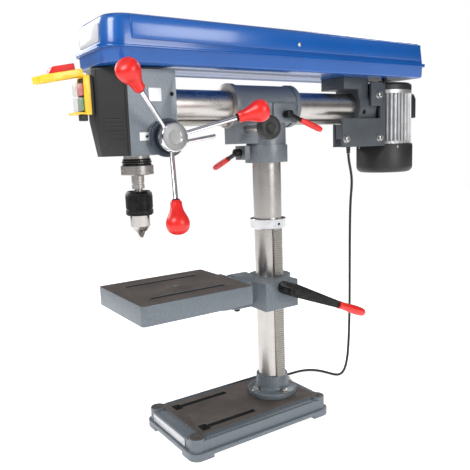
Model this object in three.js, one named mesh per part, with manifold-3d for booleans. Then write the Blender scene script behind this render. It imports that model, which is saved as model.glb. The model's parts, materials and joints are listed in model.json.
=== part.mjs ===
// A bench radial drill press: base, round column, lifting and tilting table, and a sliding, swivelling and
// tilting arm that carries the drill head at its front end and the motor at its rear end.
// Millimetres. +Z is up, +X is the operator's right (feed handles), -Y is the front (chuck and switch).
// Sizes are written from the column axis at bench level, and the whole group is moved at the end so that
// its origin is the middle of its footprint at bench level, measured without the mains cord.
import * as THREE from "three";
import { mergeVertices } from "three/addons/utils/BufferGeometryUtils.js";
import { ConvexGeometry } from "three/addons/geometries/ConvexGeometry.js";
import Module from "manifold-3d";

const wasm = await Module();
wasm.setup();

// Driving dimensions
const gap = 0.3; // between pieces that touch or run on each other
const sides = { fine: 28, round: 20, plain: 12 }; // facets round a bearing, a turned piece and a small bar
const base = {
  halfWidth: 104, front: -266, rear: 80, cornerRadius: 20, skirtHeight: 15, step: 6, shoulder: 36,
  machined: 40, machinedInset: 24, bossInset: 21, bossRadius: 16, bossTop: 41, boltRadius: 5.5,
  wall: 9, deck: 12, archHeight: 7, footLength: 46,
  slotX: 56, slotWidth: 13, slotFront: -205, slotRear: -90, notchWidth: 25, notchLength: 17,
};
const label = { left: -72, right: 62, low: 17, high: 33, thick: 1.2 };
const column = { radius: 30, wall: 5, top: 620 };
const drawnTop = 620; // the column top for which the heights of the arm and all it carries are written
const flange = {
  radius: column.radius + 24, thick: 12, collarRadius: column.radius + 4, collarTop: 84.5,
  boltCircle: column.radius + 14, boltRadius: 4.2,
};
const ring = { radius: column.radius + 8.5, low: 412, high: 433, screwRadius: 3 };
const columnRack = { width: 22, thick: 5.2, pitch: 9.42, toothDepth: 2.2 };
const bracket = {
  low: 252, high: 309, ringRadius: column.radius + 16, blockRight: column.radius + 48,
  blockFront: -68, blockRear: 15,
  neckRadius: 38, neckHeight: 284, neckFront: -100, earLength: 66, earHalf: 14, splitWidth: 3,
};
const gear = { x: column.radius + 17.4, z: 274, radius: 11.5, teeth: 6, front: -35, rear: 11 };
const crank = {
  y: -24, z: 297.5, shaftRadius: 8.5, hubRadius: 13.5, plateLeft: column.radius + 79.5,
  plateRight: column.radius + 90,
  angle: -23.2, armLength: 122, armEndRadius: 8, gripLength: 84, gripRadius: 10,
};
const table = {
  halfWidth: 101.5, front: -351, rear: -114, top: 320, height: 37, cornerRadius: 7, deck: 11, wall: 8,
  slotX: 57, slotWidth: 10, slotFront: -313, slotRear: -152, holeRadius: 5, holeY: -233, boltRadius: 6.2,
};
const arm = { height: 668, radius: 30, wall: 5, front: -262, rear: 262 };
const saddle = {
  front: -98, rear: 63, radius: arm.radius + 12, rimRadius: arm.radius + 14.5, rimLength: 11, low: 552,
  collarTop: 588, collarRadius: column.radius + 15, neckRadius: column.radius + 12,
};
const armRack = {
  halfWidth: 8, low: arm.height - arm.radius - 9, front: -232, rear: 234, pitch: 9.42, toothDepth: 2,
};
const traverse = {
  y: -63, z: armRack.low - 8.4, shaftRadius: 7, pinionRadius: 7.4, boxHalf: 22, boxFront: -89, boxLow: 592,
  knobLeft: 84, knobRight: 106, knobRadius: 23,
};
const lock = { hubRadius: 8, armRadius: 4.6, gripRadius: 6.4 };
const armLock = { y: 18, z: 649, padTop: Math.max(arm.radius, column.radius) + 16, reach: [13, 79, -34] };
const swivelLock = { x: -14, z: 574, earFront: -27 - column.radius, reach: [-76, -11, -33] };
const head = {
  halfWidth: 50, front: -330, rear: -236, low: 577, high: 726, bossRadius: 37, bossRight: 53,
};
const frontCover = {
  wall: 3, high: 728, front: -378, frontHalf: 14, chinHigh: 640, chinFront: -368, chinHalf: 11,
};
const feedShaft = { radius: 8.5, clearance: 1.5 };
const quill = { y: -298, radius: 24, low: 541.9, high: 690, collarRadius: 30, collarHigh: 559, bore: 12.3 };
const spindle = { radius: 11.6, noseLow: 516, arborRadius: 7.5, arborLow: 488, topRadius: 8, top: 792 };
const chuck = {
  sleeveRadius: 25.5, sleeveLow: 467, sleeveHigh: 512, bodyRadius: 20, noseRadius: 18.5, noseLow: 437.5,
  jawRadius: 3.8, jawOffset: 4.8, jawLow: 424, jawLength: 36, jawAngle: 14, jawTravel: 8,
};
const feed = {
  y: quill.y + quill.radius + feedShaft.radius + feedShaft.clearance, z: 606.5, shaftRadius: feedShaft.radius,
  ringLeft: 54, ringRight: 67, ringRadius: 34, hubRight: 92, hubRadius: 25.5, rodRadius: 4, rodStartX: 87.2,
  rodStart: 27, rodSlope: 0.5215, rodRoot: 13, knobReach: 111, firstAngle: 16.5, knobLength: 57, knobRadius: 20,
};
const headLock = { x: 40, z: 598, hubY: -221, hubHalf: 7.5, reach: [10, 64, 10] };
const motor = {
  y: 363, radius: 63.5, finDepth: 4, fins: 24, low: 581, high: 706, capTop: 723, coverRadius: 67,
  coverLow: 513, shaftRadius: 7, boxHalf: 28, boxLow: 642, boxHigh: 700, boxRear: 446,
};
const post = {
  front: 237.5, rear: 290, ringRadius: arm.radius + 13, halfWidth: 38, low: 596, postIn: 20,
  postOut: 37, postRear: 268,
  shelfFront: 192, shelfLow: 706,
};
const plate = { thick: 6, front: 176, rear: 311, low: 577, high: 640, upperFront: 266, upperLow: 668,
  upperHigh: 720 };
const cover = {
  halfWidth: 83, front: -374, rear: 400, floor: 731, seam: 758, top: 812, wall: 2.4, cornerRadius: 24,
  rim: 5, rimHeight: 3,
};
const pulley = { low: 739, step: 11, steps: 4, smallest: 16, growth: 5, beltStep: 1, beltWidth: 6,
  bore: 8.4 };
const box = { left: -18, right: 18, low: 650, high: 716, depth: 14 };
const button = { halfWidth: 12, thick: 9, stand: 5, stopLow: 682, stopHigh: 702, startLow: 656,
  startHigh: 679 };
const flap = {
  reach: 82, thick: 3, hingeHeight: 716, lift: 7, wall: 3, barrel: 2, offset: 3, droop: 11, tab: 12,
    tabHalf: 7,
  paddleFrom: 9, paddleLength: 56, paddleHalf: 11, paddleHeight: 11, paddleSlant: 12,
};
const gland = { y: 241, radius: 8, tipRadius: 4.4, tip: 562.3 };
const cord = { radius: 3.1, facets: 8 };
const coil = { x: -148, y: 111, inner: 26, outer: 34, height: 39, bench: 0.2, chamfer: 2 };
const plug = { radius: 16, length: 36, pinLength: 19, pinRadius: 2.4, pinSpread: 9.5, along: [-0.8, 0.6,
  0], ahead: 58, aside: 15 };

// Solids: closed three.js geometries, joined and cut with manifold-3d
function toSolid(geometry) {
  const bare = geometry.clone();
  for (const name of Object.keys(bare.attributes)) if (name !== "position") bare.deleteAttribute(name);
  const merged = mergeVertices(bare, 1e-4);
  const vertProperties = new Float32Array(merged.attributes.position.array);
  const triVerts = new Uint32Array(merged.index.array);
  return new wasm.Manifold(new wasm.Mesh({ numProp: 3, vertProperties, triVerts }));
}

function toGeometry(solid) {
  const mesh = solid.getMesh();
  const geometry = new THREE.BufferGeometry();
  geometry.setAttribute("position", new THREE.BufferAttribute(new Float32Array(mesh.vertProperties), 3));
  geometry.setIndex(new THREE.BufferAttribute(new Uint32Array(mesh.triVerts), 1));
  return geometry;
}

function join(...geometries) {
  return toGeometry(geometries.map(toSolid).reduce((sum, next) => sum.add(next)));
}

function cut(geometry, ...tools) {
  return toGeometry(tools.map(toSolid).reduce((rest, tool) => rest.subtract(tool), toSolid(geometry)));
}

// A box from its low and high corners.
function block(x0, x1, y0, y1, z0, z1) {
  return new THREE.BoxGeometry(x1 - x0, y1 - y0, z1 - z0).translate((x0 + x1) / 2, (y0 + y1) / 2,
    (z0 + z1) / 2);
}

// Turns a geometry built along +Y to run from a start point along a direction.
function aim(geometry, start, direction) {
  const turn = new THREE.Quaternion().setFromUnitVectors(
    new THREE.Vector3(0, 1, 0), new THREE.Vector3(...direction).normalize());
  return geometry.applyQuaternion(turn).translate(...start);
}

// A round bar or cone between two points.
function rod(start, end, startRadius, endRadius = startRadius, facets = sides.plain) {
  const way = new THREE.Vector3(...end).sub(new THREE.Vector3(...start));
  const bar = new THREE.CylinderGeometry(endRadius, startRadius, way.length(), facets);
  return aim(bar.translate(0, way.length() / 2, 0), start, way.toArray());
}

// A turned shape: pairs of radius and height along the direction, from the axis and back to it.
function turned(profile, start, direction, facets = sides.round) {
  const points = profile.map(([radius, along]) => new THREE.Vector2(radius, along));
  return aim(new THREE.LatheGeometry(points, facets), start, direction);
}

function tube(start, end, radius, bore, facets = sides.fine) {
  const past = new THREE.Vector3(...end).sub(new THREE.Vector3(...start)).normalize();
  const from = new THREE.Vector3(...start).sub(past).toArray();
  const to = new THREE.Vector3(...end).add(past).toArray();
  return cut(rod(start, end, radius, radius, facets), rod(from, to, bore, bore, facets));
}

// The tightest solid around some points.
function wrapped(points) {
  return new ConvexGeometry(points.map((point) => new THREE.Vector3(...point)));
}

function corners(geometry) {
  const place = geometry.attributes.position;
  return Array.from({ length: place.count }, (_, index) => [place.getX(index), place.getY(index),
    place.getZ(index)]);
}

function roundedRectangle(x0, x1, y0, y1, radius) {
  const shape = new THREE.Shape();
  shape.moveTo(x0 + radius, y0);
  shape.lineTo(x1 - radius, y0);
  shape.absarc(x1 - radius, y0 + radius, radius, -Math.PI / 2, 0);
  shape.lineTo(x1, y1 - radius);
  shape.absarc(x1 - radius, y1 - radius, radius, 0, Math.PI / 2);
  shape.lineTo(x0 + radius, y1);
  shape.absarc(x0 + radius, y1 - radius, radius, Math.PI / 2, Math.PI);
  shape.lineTo(x0, y0 + radius);
  shape.absarc(x0 + radius, y0 + radius, radius, Math.PI, Math.PI * 1.5);
  return shape;
}

function slab(shape, z0, z1, curveSegments = 4) {
  return new THREE.ExtrudeGeometry(shape, { depth: z1 - z0, bevelEnabled: false,
    curveSegments }).translate(0, 0, z0);
}

// A plate whose outline is drawn in Y and Z, standing across X.
function sidePlate(points, x0, x1) {
  const shape = new THREE.Shape(points.map(([y, z]) => new THREE.Vector2(y, z)));
  const flat = new THREE.ExtrudeGeometry(shape, { depth: x1 - x0, bevelEnabled: false });
  const axes = new THREE.Matrix4().makeBasis(
    new THREE.Vector3(0, 1, 0), new THREE.Vector3(0, 0, 1), new THREE.Vector3(1, 0, 0));
  return flat.applyMatrix4(axes).translate(x0, 0, 0);
}

// A toothed or finned round bar: teeth of equal width around a root circle.
function toothed(radius, depth, teeth, length, start, direction) {
  const shape = new THREE.Shape();
  for (let tooth = 0; tooth < teeth; tooth += 1) {
    for (const [share, reach] of [[0.05, radius - depth], [0.25, radius], [0.55, radius], [0.75,
      radius - depth]]) {
      const angle = ((tooth + share) / teeth) * Math.PI * 2;
      const point = [Math.cos(angle) * reach, Math.sin(angle) * reach];
      if (tooth === 0 && share < 0.1) shape.moveTo(...point);
      else shape.lineTo(...point);
    }
  }
  const flat = new THREE.ExtrudeGeometry(shape, { depth: length, bevelEnabled: false });
  return aim(flat.rotateX(-Math.PI / 2), start, direction);
}

// A rack's outline: a straight back and teeth on the other side, as pairs of length and height.
function rackOutline(start, end, back, face, pitch, depth) {
  const points = [[start, back], [start, face]];
  const inward = Math.sign(back - face) * depth;
  for (let at = start + pitch; at < end - pitch; at += pitch) {
    points.push([at, face], [at + pitch * 0.2, face + inward], [at + pitch * 0.45, face + inward]);
    points.push([at + pitch * 0.65, face]);
  }
  points.push([end, face], [end, back]);
  return points;
}

// Base and column
function baseCasting() {
  const b = base;
  const outline = (inset) =>
    roundedRectangle(-b.halfWidth + inset, b.halfWidth - inset, b.front + inset, b.rear - inset,
      b.cornerRadius - inset / 2);
  const skirt = slab(outline(0), 0, b.skirtHeight);
  const body = slab(outline(b.step), b.skirtHeight - 1, b.shoulder);
  const deck = block(-b.halfWidth + b.machinedInset, b.halfWidth - b.machinedInset,
    b.front + b.bossInset + 9, b.rear - b.bossInset + 1, b.shoulder - 1, b.machined);
  const hollow = slab(outline(b.step + b.wall), -1, b.shoulder - b.deck);
  const sideArch = block(-b.halfWidth - 1, b.halfWidth + 1, b.front + b.footLength, b.rear - b.footLength,
    -1, b.archHeight);
  const endArch = block(-b.halfWidth + b.footLength, b.halfWidth - b.footLength, b.front - 1, b.rear + 1,
    -1, b.archHeight);
  const bosses = baseBoltPlaces().map(([x, y]) => rod([x, y, 0], [x, y, b.bossTop], b.bossRadius));
  const holes = baseBoltPlaces().map(([x, y]) => rod([x, y, -1], [x, y, b.bossTop + 1], b.boltRadius));
  const slots = [-1, 1].flatMap((side) => [
    block(side * b.slotX - b.slotWidth / 2, side * b.slotX + b.slotWidth / 2, b.slotFront, b.slotRear, 1,
      b.bossTop),
    block(side * b.slotX - b.notchWidth / 2, side * b.slotX + b.notchWidth / 2,
      b.slotFront - b.notchLength, b.slotFront + 1, 1, b.bossTop),
  ]);
  const flangeHoles = flangeBoltPlaces().map(([x, y]) => rod([x, y, 1], [x, y, b.bossTop],
    flange.boltRadius));
  const shell = cut(join(skirt, body, deck), hollow, sideArch, endArch);
  return cut(join(shell, ...bosses), ...holes, ...slots, ...flangeHoles);
}

function baseBoltPlaces() {
  const x = base.halfWidth - base.bossInset;
  return [[-x, base.front + base.bossInset], [x, base.front + base.bossInset],
    [-x, base.rear - base.bossInset], [x, base.rear - base.bossInset]];
}

function flangeBoltPlaces() {
  return [0, 1, 2, 3].map((quarter) => [
    Math.cos((quarter * Math.PI) / 2) * flange.boltCircle,
      Math.sin((quarter * Math.PI) / 2) * flange.boltCircle]);
}

function baseLabelPlate() {
  const face = base.front + base.step - gap;
  return block(label.left, label.right, face - label.thick, face, label.low, label.high);
}

function columnFlange() {
  const low = base.machined + gap;
  const high = base.machined + flange.thick;
  const body = turned([[0, low], [flange.radius, low], [flange.radius, high - 3], [flange.radius - 3, high],
    [flange.collarRadius + 3, high + 1], [flange.collarRadius, high + 5], [flange.collarRadius,
      flange.collarTop],
    [0, flange.collarTop]], [0, 0, 0], [0, 0, 1], sides.fine);
  const holes = flangeBoltPlaces().map(([x, y]) => rod([x, y, low - 1], [x, y, high + 9],
    flange.boltRadius));
  return cut(body, rod([0, 0, 0], [0, 0, 99], column.radius + gap, column.radius + gap, sides.fine),
    ...holes);
}

function columnTube() {
  return tube([0, 0, base.machined + gap], [0, 0, column.top], column.radius, column.radius - column.wall);
}

function rackRing() {
  const body = tube([0, 0, ring.low], [0, 0, ring.high], ring.radius, column.radius + gap);
  const middle = (ring.low + ring.high) / 2;
  return cut(body, rod([column.radius - 2, 0, middle], [ring.radius + 1, 0, middle], ring.screwRadius));
}

function columnRackBar() {
  const back = column.radius + gap;
  const outline = rackOutline(flange.collarTop + gap, ring.low - gap, back, back + columnRack.thick,
    columnRack.pitch, columnRack.toothDepth);
  // The outline is drawn as height and distance from the column, and stands across Y.
  const shape = new THREE.Shape(outline.map(([z, x]) => new THREE.Vector2(x, z)));
  const flat = new THREE.ExtrudeGeometry(shape, { depth: columnRack.width, bevelEnabled: false });
  return flat.rotateX(Math.PI / 2).translate(0, columnRack.width / 2, 0);
}

// Table bracket, its lift and the table
function tableBracket() {
  const b = bracket;
  const clamp = rod([0, 0, b.low], [0, 0, b.high], b.ringRadius, b.ringRadius, sides.fine);
  const housing = block(4, b.blockRight, b.blockFront, b.blockRear, b.low, b.high);
  const neck = rod([0, b.neckFront, b.neckHeight], [0, -20, b.neckHeight], b.neckRadius, b.neckRadius,
    sides.round);
  const neckFit = block(-60, 60, -60, 0, b.high, b.high + 40);
  const ears = block(-b.earLength, -20, -b.earHalf, b.earHalf, b.low + 10, b.high - 8);
  const bore = rod([0, 0, b.low - 9], [0, 0, b.high + 19], column.radius + gap, column.radius + gap,
    sides.fine);
  const rackWay = block(20, column.radius + columnRack.thick + 3 * gap, -columnRack.width / 2 - gap,
    columnRack.width / 2 + gap, b.low - 9, b.high + 19);
  const gearWay = rod([gear.x, gear.front - gap, gear.z], [gear.x, gear.rear + gap, gear.z],
    gear.radius + gap, gear.radius + gap, sides.fine);
  const shaftWay = rod([gear.x - 12, crank.y, crank.z], [b.blockRight + 1, crank.y, crank.z],
    crank.shaftRadius + gap);
  const wormWay = block(gear.x - 9, gear.x + 9, crank.y - 8, crank.y + 8, gear.z, crank.z);
  const split = block(-b.earLength - 1, -20, -b.splitWidth / 2, b.splitWidth / 2, b.low - 1, b.high + 1);
  const earBolt = rod([-b.earLength + 11, -40, b.neckHeight - 4], [-b.earLength + 11, 40,
    b.neckHeight - 4], 4.3);
  const tiltBolt = rod([0, b.neckFront - 1, b.neckHeight], [0, -52, b.neckHeight], table.boltRadius);
  const body = join(clamp, housing, cut(neck, neckFit), ears);
  return cut(body, bore, rackWay, gearWay, shaftWay, wormWay, split, earBolt, tiltBolt);
}

function liftGear() {
  return toothed(gear.radius, 2, gear.teeth, gear.rear - gear.front, [gear.x, gear.front, gear.z], [0, 1,
    0]);
}

function crankShaft() {
  return rod([gear.x - 11, crank.y, crank.z], [crank.plateLeft - gap, crank.y, crank.z], crank.shaftRadius);
}

// Points along the crank, from its hub's axis.
function alongCrank(x, distance) {
  const angle = THREE.MathUtils.degToRad(crank.angle);
  return [x, crank.y + Math.cos(angle) * distance, crank.z + Math.sin(angle) * distance];
}

function tableCrank() {
  const c = crank;
  const hub = tube([bracket.blockRight + 1, c.y, c.z], [c.plateLeft + 1, c.y, c.z], c.hubRadius,
    c.shaftRadius + gap);
  const ends = [[c.hubRadius, 0], [c.armEndRadius, c.armLength]].flatMap(([radius, distance]) =>
    corners(rod(alongCrank(c.plateLeft, distance), alongCrank(c.plateRight, distance), radius)));
  return join(hub, wrapped(ends));
}

function crankGrip() {
  const c = crank;
  const middle = (c.plateLeft + c.plateRight) / 2;
  const start = alongCrank(middle, c.armLength + c.armEndRadius + gap);
  const end = alongCrank(middle, c.armLength + c.armEndRadius + c.gripLength);
  const way = new THREE.Vector3(...end).sub(new THREE.Vector3(...start)).toArray();
  const length = c.gripLength - gap;
  return turned([[0, 0], [c.gripRadius * 0.85, 0], [c.gripRadius * 0.8, 12], [c.gripRadius, length * 0.6],
    [c.gripRadius, length - 6], [c.gripRadius * 0.6, length], [0, length]], start, way, sides.plain);
}

function workTable() {
  const t = table;
  const low = t.top - t.height;
  const outline = (inset) =>
    roundedRectangle(-t.halfWidth + inset, t.halfWidth - inset, t.front + inset, t.rear - inset,
      t.cornerRadius);
  const body = slab(outline(0), low, t.top);
  const hollow = slab(outline(t.wall), low - 1, t.top - t.deck);
  const face = bracket.neckFront - gap;
  const joint = rod([0, t.rear - 12, bracket.neckHeight], [0, face, bracket.neckHeight],
    bracket.neckRadius - 2);
  const jointTop = block(-34, 34, t.rear - 1, face - 4, bracket.neckHeight, t.top - 1);
  const slots = [-1, 1].map((side) => block(side * t.slotX - t.slotWidth / 2,
    side * t.slotX + t.slotWidth / 2,
    t.slotFront, t.slotRear, low + 2, t.top + 1));
  const hole = rod([0, t.holeY, low], [0, t.holeY, t.top + 1], t.holeRadius);
  const bolt = rod([0, t.rear - 14, bracket.neckHeight], [0, face + 1, bracket.neckHeight], t.boltRadius);
  const trim = block(-60, 60, t.rear - 30, face + 2, t.top - 0.5, t.top + 30);
  const shell = cut(body, hollow);
  return cut(join(shell, cut(joint, trim), jointTop), ...slots, hole, bolt);
}

// Saddle with its locks and traverse knob
function armSaddle() {
  const s = saddle;
  const z = arm.height;
  const sleeve = rod([0, s.front, z], [0, s.rear, z], s.radius, s.radius, sides.fine);
  const frontRim = rod([0, s.front, z], [0, s.front + s.rimLength, z], s.rimRadius, s.rimRadius, sides.fine);
  const rearRim = rod([0, s.rear - s.rimLength, z], [0, s.rear, z], s.rimRadius, s.rimRadius, sides.fine);
  const socket = rod([0, 0, s.low], [0, 0, z - 10], s.neckRadius, s.neckRadius, sides.fine);
  const collar = rod([0, 0, s.low], [0, 0, s.collarTop], s.collarRadius, s.collarRadius, sides.fine);
  const rackBox = block(-traverse.boxHalf, traverse.boxHalf, traverse.boxFront, -20, traverse.boxLow,
    z - 20);
  const lockPad = block(20, armLock.padTop, armLock.y - 30, armLock.y + 30, armLock.z - 17, armLock.z + 22);
  const ear = block(swivelLock.x - 18, swivelLock.x + 18, swivelLock.earFront, -20, s.low + 7, s.collarTop);
  const armBore = rod([0, s.front - 1, z], [0, s.rear + 1, z], arm.radius + gap, arm.radius + gap,
    sides.fine);
  const columnBore = rod([0, 0, s.low - 1], [0, 0, drawnTop + gap], column.radius + gap,
    column.radius + gap, sides.fine);
  const rackWay = block(-armRack.halfWidth - gap, armRack.halfWidth + gap, s.front - 1, s.rear + 1,
    armRack.low - gap, z - 20);
  const shaftWay = rod([-12, traverse.y, traverse.z], [99, traverse.y, traverse.z],
    traverse.pinionRadius + gap);
  const lockHole = rod([armLock.padTop - 9, armLock.y, armLock.z], [99, armLock.y, armLock.z], 4.4);
  const swivelHole = rod([swivelLock.x, swivelLock.earFront - 1, swivelLock.z],
    [swivelLock.x, swivelLock.earFront + 12, swivelLock.z], 4.4);
  const split = block(swivelLock.x - 1.5, swivelLock.x + 1.5, swivelLock.earFront - 1, -28, s.low - 1,
    s.low + 12);
  const body = join(sleeve, frontRim, rearRim, socket, collar, rackBox, lockPad, ear);
  return cut(body, armBore, columnBore, rackWay, shaftWay, lockHole, swivelHole, split);
}

// A clamp lever: a hub with a stud along one axis, and an arm towards its grip.
function lockLever(hubStart, hubEnd, studEnd, reach) {
  const middle = hubStart.map((value, index) => (value + hubEnd[index]) / 2);
  const armEnd = middle.map((value, index) => value + reach[index] * 0.36);
  return join(rod(hubStart, hubEnd, lock.hubRadius), rod(hubStart, studEnd, 4), rod(middle, armEnd,
    lock.armRadius));
}

function lockGrip(hubStart, hubEnd, reach) {
  const middle = hubStart.map((value, index) => (value + hubEnd[index]) / 2);
  const length = Math.hypot(...reach);
  const start = middle.map((value, index) => value + reach[index] * (0.36 + gap / length));
  const run = length * 0.64 - gap;
  return turned([[0, 0], [lock.gripRadius * 0.9, 0], [lock.gripRadius, 10], [lock.gripRadius, run - 4],
    [lock.gripRadius * 0.6, run], [0, run]], start, reach, sides.plain);
}

const armLockHub = [[armLock.padTop + gap, armLock.y, armLock.z], [armLock.padTop + 17, armLock.y,
  armLock.z]];
const armLockStud = [armLock.padTop - 8, armLock.y, armLock.z];
const swivelLockHub = [[swivelLock.x, swivelLock.earFront - gap, swivelLock.z],
  [swivelLock.x, swivelLock.earFront - 15, swivelLock.z]];
const swivelLockStud = [swivelLock.x, swivelLock.earFront + 11, swivelLock.z];

function traverseShaft() {
  const t = traverse;
  const pinion = toothed(t.pinionRadius, 1.6, 10, 18, [-9, t.y, t.z], [1, 0, 0]);
  return join(pinion, rod([8, t.y, t.z], [t.knobLeft - gap, t.y, t.z], t.shaftRadius));
}

function traverseKnob() {
  const t = traverse;
  const thick = t.knobRight - t.knobLeft;
  return turned([[0, 0], [t.knobRadius - 1, 0], [t.knobRadius, 1.5], [t.knobRadius, thick - 2],
    [t.knobRadius - 2, thick], [0, thick]], [t.knobLeft, t.y, t.z], [1, 0, 0], sides.round);
}

// Arm, head and quill
function armRackBar() {
  const r = armRack;
  const outline = rackOutline(r.front, r.rear, arm.height - arm.radius - gap, r.low, r.pitch, r.toothDepth);
  return sidePlate(outline, -r.halfWidth, r.halfWidth);
}

function armTube() {
  return tube([0, arm.front, arm.height], [0, arm.rear, arm.height], arm.radius, arm.radius - arm.wall);
}

function headCasting() {
  const h = head;
  const body = block(-h.halfWidth, h.halfWidth, h.front, h.rear, h.low, h.high);
  const boss = rod([h.halfWidth - 1, feed.y, feed.z], [h.bossRight, feed.y, feed.z], h.bossRadius - 6);
  const tubeBore = rod([0, arm.front - 2, arm.height], [0, h.rear + 1, arm.height], arm.radius + gap,
    arm.radius + gap, sides.fine);
  const quillBore = rod([0, quill.y, h.low - 1], [0, quill.y, h.high + 1], quill.radius + gap,
    quill.radius + gap, sides.fine);
  const feedBore = rod([-30, feed.y, feed.z], [99, feed.y, feed.z], feed.shaftRadius + gap);
  const setScrew = rod([h.halfWidth - 14, h.rear - 9, 684], [h.halfWidth + 1, h.rear - 9, 684], 4);
  const lockHole = rod([headLock.x, h.rear - 12, headLock.z], [headLock.x, h.rear + 1, headLock.z], 4.4);
  return cut(join(body, boss), tubeBore, quillBore, feedBore, setScrew, lockHole);
}

// A hollow wedge in front of the head, open at its rear.
function headFrontCover() {
  const c = frontCover;
  const back = head.front - gap;
  const wedge = (inset, rear) => wrapped([-1, 1].flatMap((side) => [
    [side * (head.halfWidth - inset), rear, head.low + inset], [side * (head.halfWidth - inset), rear,
      c.high - inset],
    [side * (c.frontHalf - inset / 2), c.front + inset, c.high - inset],
    [side * (c.frontHalf - inset / 2), c.front + inset, c.chinHigh],
    [side * (c.chinHalf - inset / 2), c.chinFront + inset, head.low + inset]]));
  return cut(wedge(0, back), wedge(c.wall, back + 1));
}

function headLockLever() {
  const h = headLock;
  const hubEnd = [h.x, h.hubY + h.hubHalf, h.z];
  const stud = rod([h.x, head.rear - 11, h.z], hubEnd, 4);
  const socket = rod([h.x, h.hubY - h.hubHalf, h.z], hubEnd, 7.5);
  const from = [h.x, h.hubY, h.z];
  return join(stud, socket, rod(from, from.map((value, index) => value + h.reach[index]), 4));
}

function quillSleeve() {
  return tube([0, quill.y, quill.low], [0, quill.y, quill.high], quill.radius, quill.bore);
}

function quillCollar() {
  return tube([0, quill.y, quill.low - gap], [0, quill.y, quill.collarHigh], quill.collarRadius,
    quill.radius + gap);
}

function spindleShaft() {
  const s = spindle;
  return turned([[0, s.arborLow], [s.arborRadius, s.arborLow], [s.arborRadius, s.noseLow], [s.radius,
    s.noseLow],
    [s.radius, quill.high], [s.topRadius, quill.high + 2], [s.topRadius, s.top], [0, s.top]],
    [0, quill.y, 0], [0, 0, 1], sides.round);
}

// A jaw's axis: it rises outwards from the tip, and its bore in the chuck follows the same line.
function jawLine(index, past = 0) {
  const angle = (index * Math.PI * 2) / 3 + Math.PI / 6;
  const lean = THREE.MathUtils.degToRad(chuck.jawAngle);
  const direction = [Math.cos(angle) * Math.sin(lean), Math.sin(angle) * Math.sin(lean), Math.cos(lean)];
  const tip = [Math.cos(angle) * chuck.jawOffset, quill.y + Math.sin(angle) * chuck.jawOffset, chuck.jawLow];
  const end = tip.map((value, axis) => value + direction[axis] * (chuck.jawLength + past));
  return [tip, end];
}

function chuckJaw(index) {
  const [tip, end] = jawLine(index);
  return rod(tip, end, chuck.jawRadius, chuck.jawRadius, 12);
}

function chuckBody() {
  const c = chuck;
  const body = turned([[0, c.noseLow], [c.noseRadius - 6, c.noseLow], [c.noseRadius, c.noseLow + 9],
    [c.noseRadius, c.sleeveLow], [c.bodyRadius, c.sleeveLow + 2], [c.bodyRadius, c.sleeveHigh - 6],
    [c.bodyRadius - 6, c.sleeveHigh - 1], [0, c.sleeveHigh - 1]], [0, quill.y, 0], [0, 0, 1], sides.round);
  const arbor = rod([0, quill.y, spindle.arborLow - 2], [0, quill.y, 600], spindle.arborRadius + gap);
  const bores = [0, 1, 2].map((index) => rod(...jawLine(index, c.jawTravel + 2), c.jawRadius + gap,
    c.jawRadius + gap, 12));
  const throat = rod([0, quill.y, c.noseLow - 1], [0, quill.y, spindle.arborLow - 8], 4.5);
  return cut(body, arbor, throat, ...bores);
}

function chuckSleeve() {
  const c = chuck;
  const outer = turned([[0, c.sleeveLow], [c.sleeveRadius - 1, c.sleeveLow], [c.sleeveRadius,
    c.sleeveLow + 3],
    [c.sleeveRadius, c.sleeveHigh - 5], [c.sleeveRadius - 5, c.sleeveHigh], [0, c.sleeveHigh]],
    [0, quill.y, 0], [0, 0, 1], sides.round);
  return cut(outer, rod([0, quill.y, c.sleeveLow - 1], [0, quill.y, c.sleeveHigh + 1], c.bodyRadius + gap,
    c.bodyRadius + gap, sides.round));
}

// Feed handles
function depthRing() {
  const f = feed;
  return tube([f.ringLeft, f.y, f.z], [f.ringRight, f.y, f.z], f.ringRadius, f.shaftRadius + gap);
}

function feedHub() {
  const f = feed;
  const hub = turned([[0, 0], [f.hubRadius, 0], [f.hubRadius, f.hubRight - f.ringRight - 2 * gap - 1.5],
    [f.hubRadius - 1.5, f.hubRight - f.ringRight - 2 * gap], [0, f.hubRight - f.ringRight - 2 * gap]],
    [f.ringRight + 2 * gap, f.y, f.z], [1, 0, 0], sides.round);
  const holes = [0, 1, 2].map((index) => rod(...feedRodLine(index, f.rodRoot - 1, f.hubRadius + 12),
    f.rodRadius + gap));
  return cut(join(hub, rod([-28, f.y, f.z], [f.ringRight + 2, f.y, f.z], f.shaftRadius)), ...holes);
}

// Points on a handle's line, at two distances from the hub's axis.
function feedRodLine(index, startReach, endReach) {
  const f = feed;
  const angle = THREE.MathUtils.degToRad(f.firstAngle + index * 120);
  return [startReach, endReach].map((reach) => [
    f.rodStartX + (reach - f.rodStart) * f.rodSlope, f.y + Math.cos(angle) * reach,
      f.z + Math.sin(angle) * reach]);
}

function feedRod(index) {
  return rod(...feedRodLine(index, feed.rodRoot, feed.knobReach), feed.rodRadius, feed.rodRadius,
    sides.plain);
}

function feedKnob(index) {
  const f = feed;
  const [start, end] = feedRodLine(index, f.knobReach + gap, f.knobReach + f.knobLength);
  const way = new THREE.Vector3(...end).sub(new THREE.Vector3(...start)).toArray();
  const r = f.knobRadius;
  const l = f.knobLength;
  return turned([[0, 0], [r * 0.5, 0], [r * 0.5, l * 0.16], [r * 0.66, l * 0.34], [r * 0.93, l * 0.54],
    [r, l * 0.68],
    [r * 0.92, l * 0.84], [r * 0.62, l * 0.96], [0, l]], start, way, sides.round);
}

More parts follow.
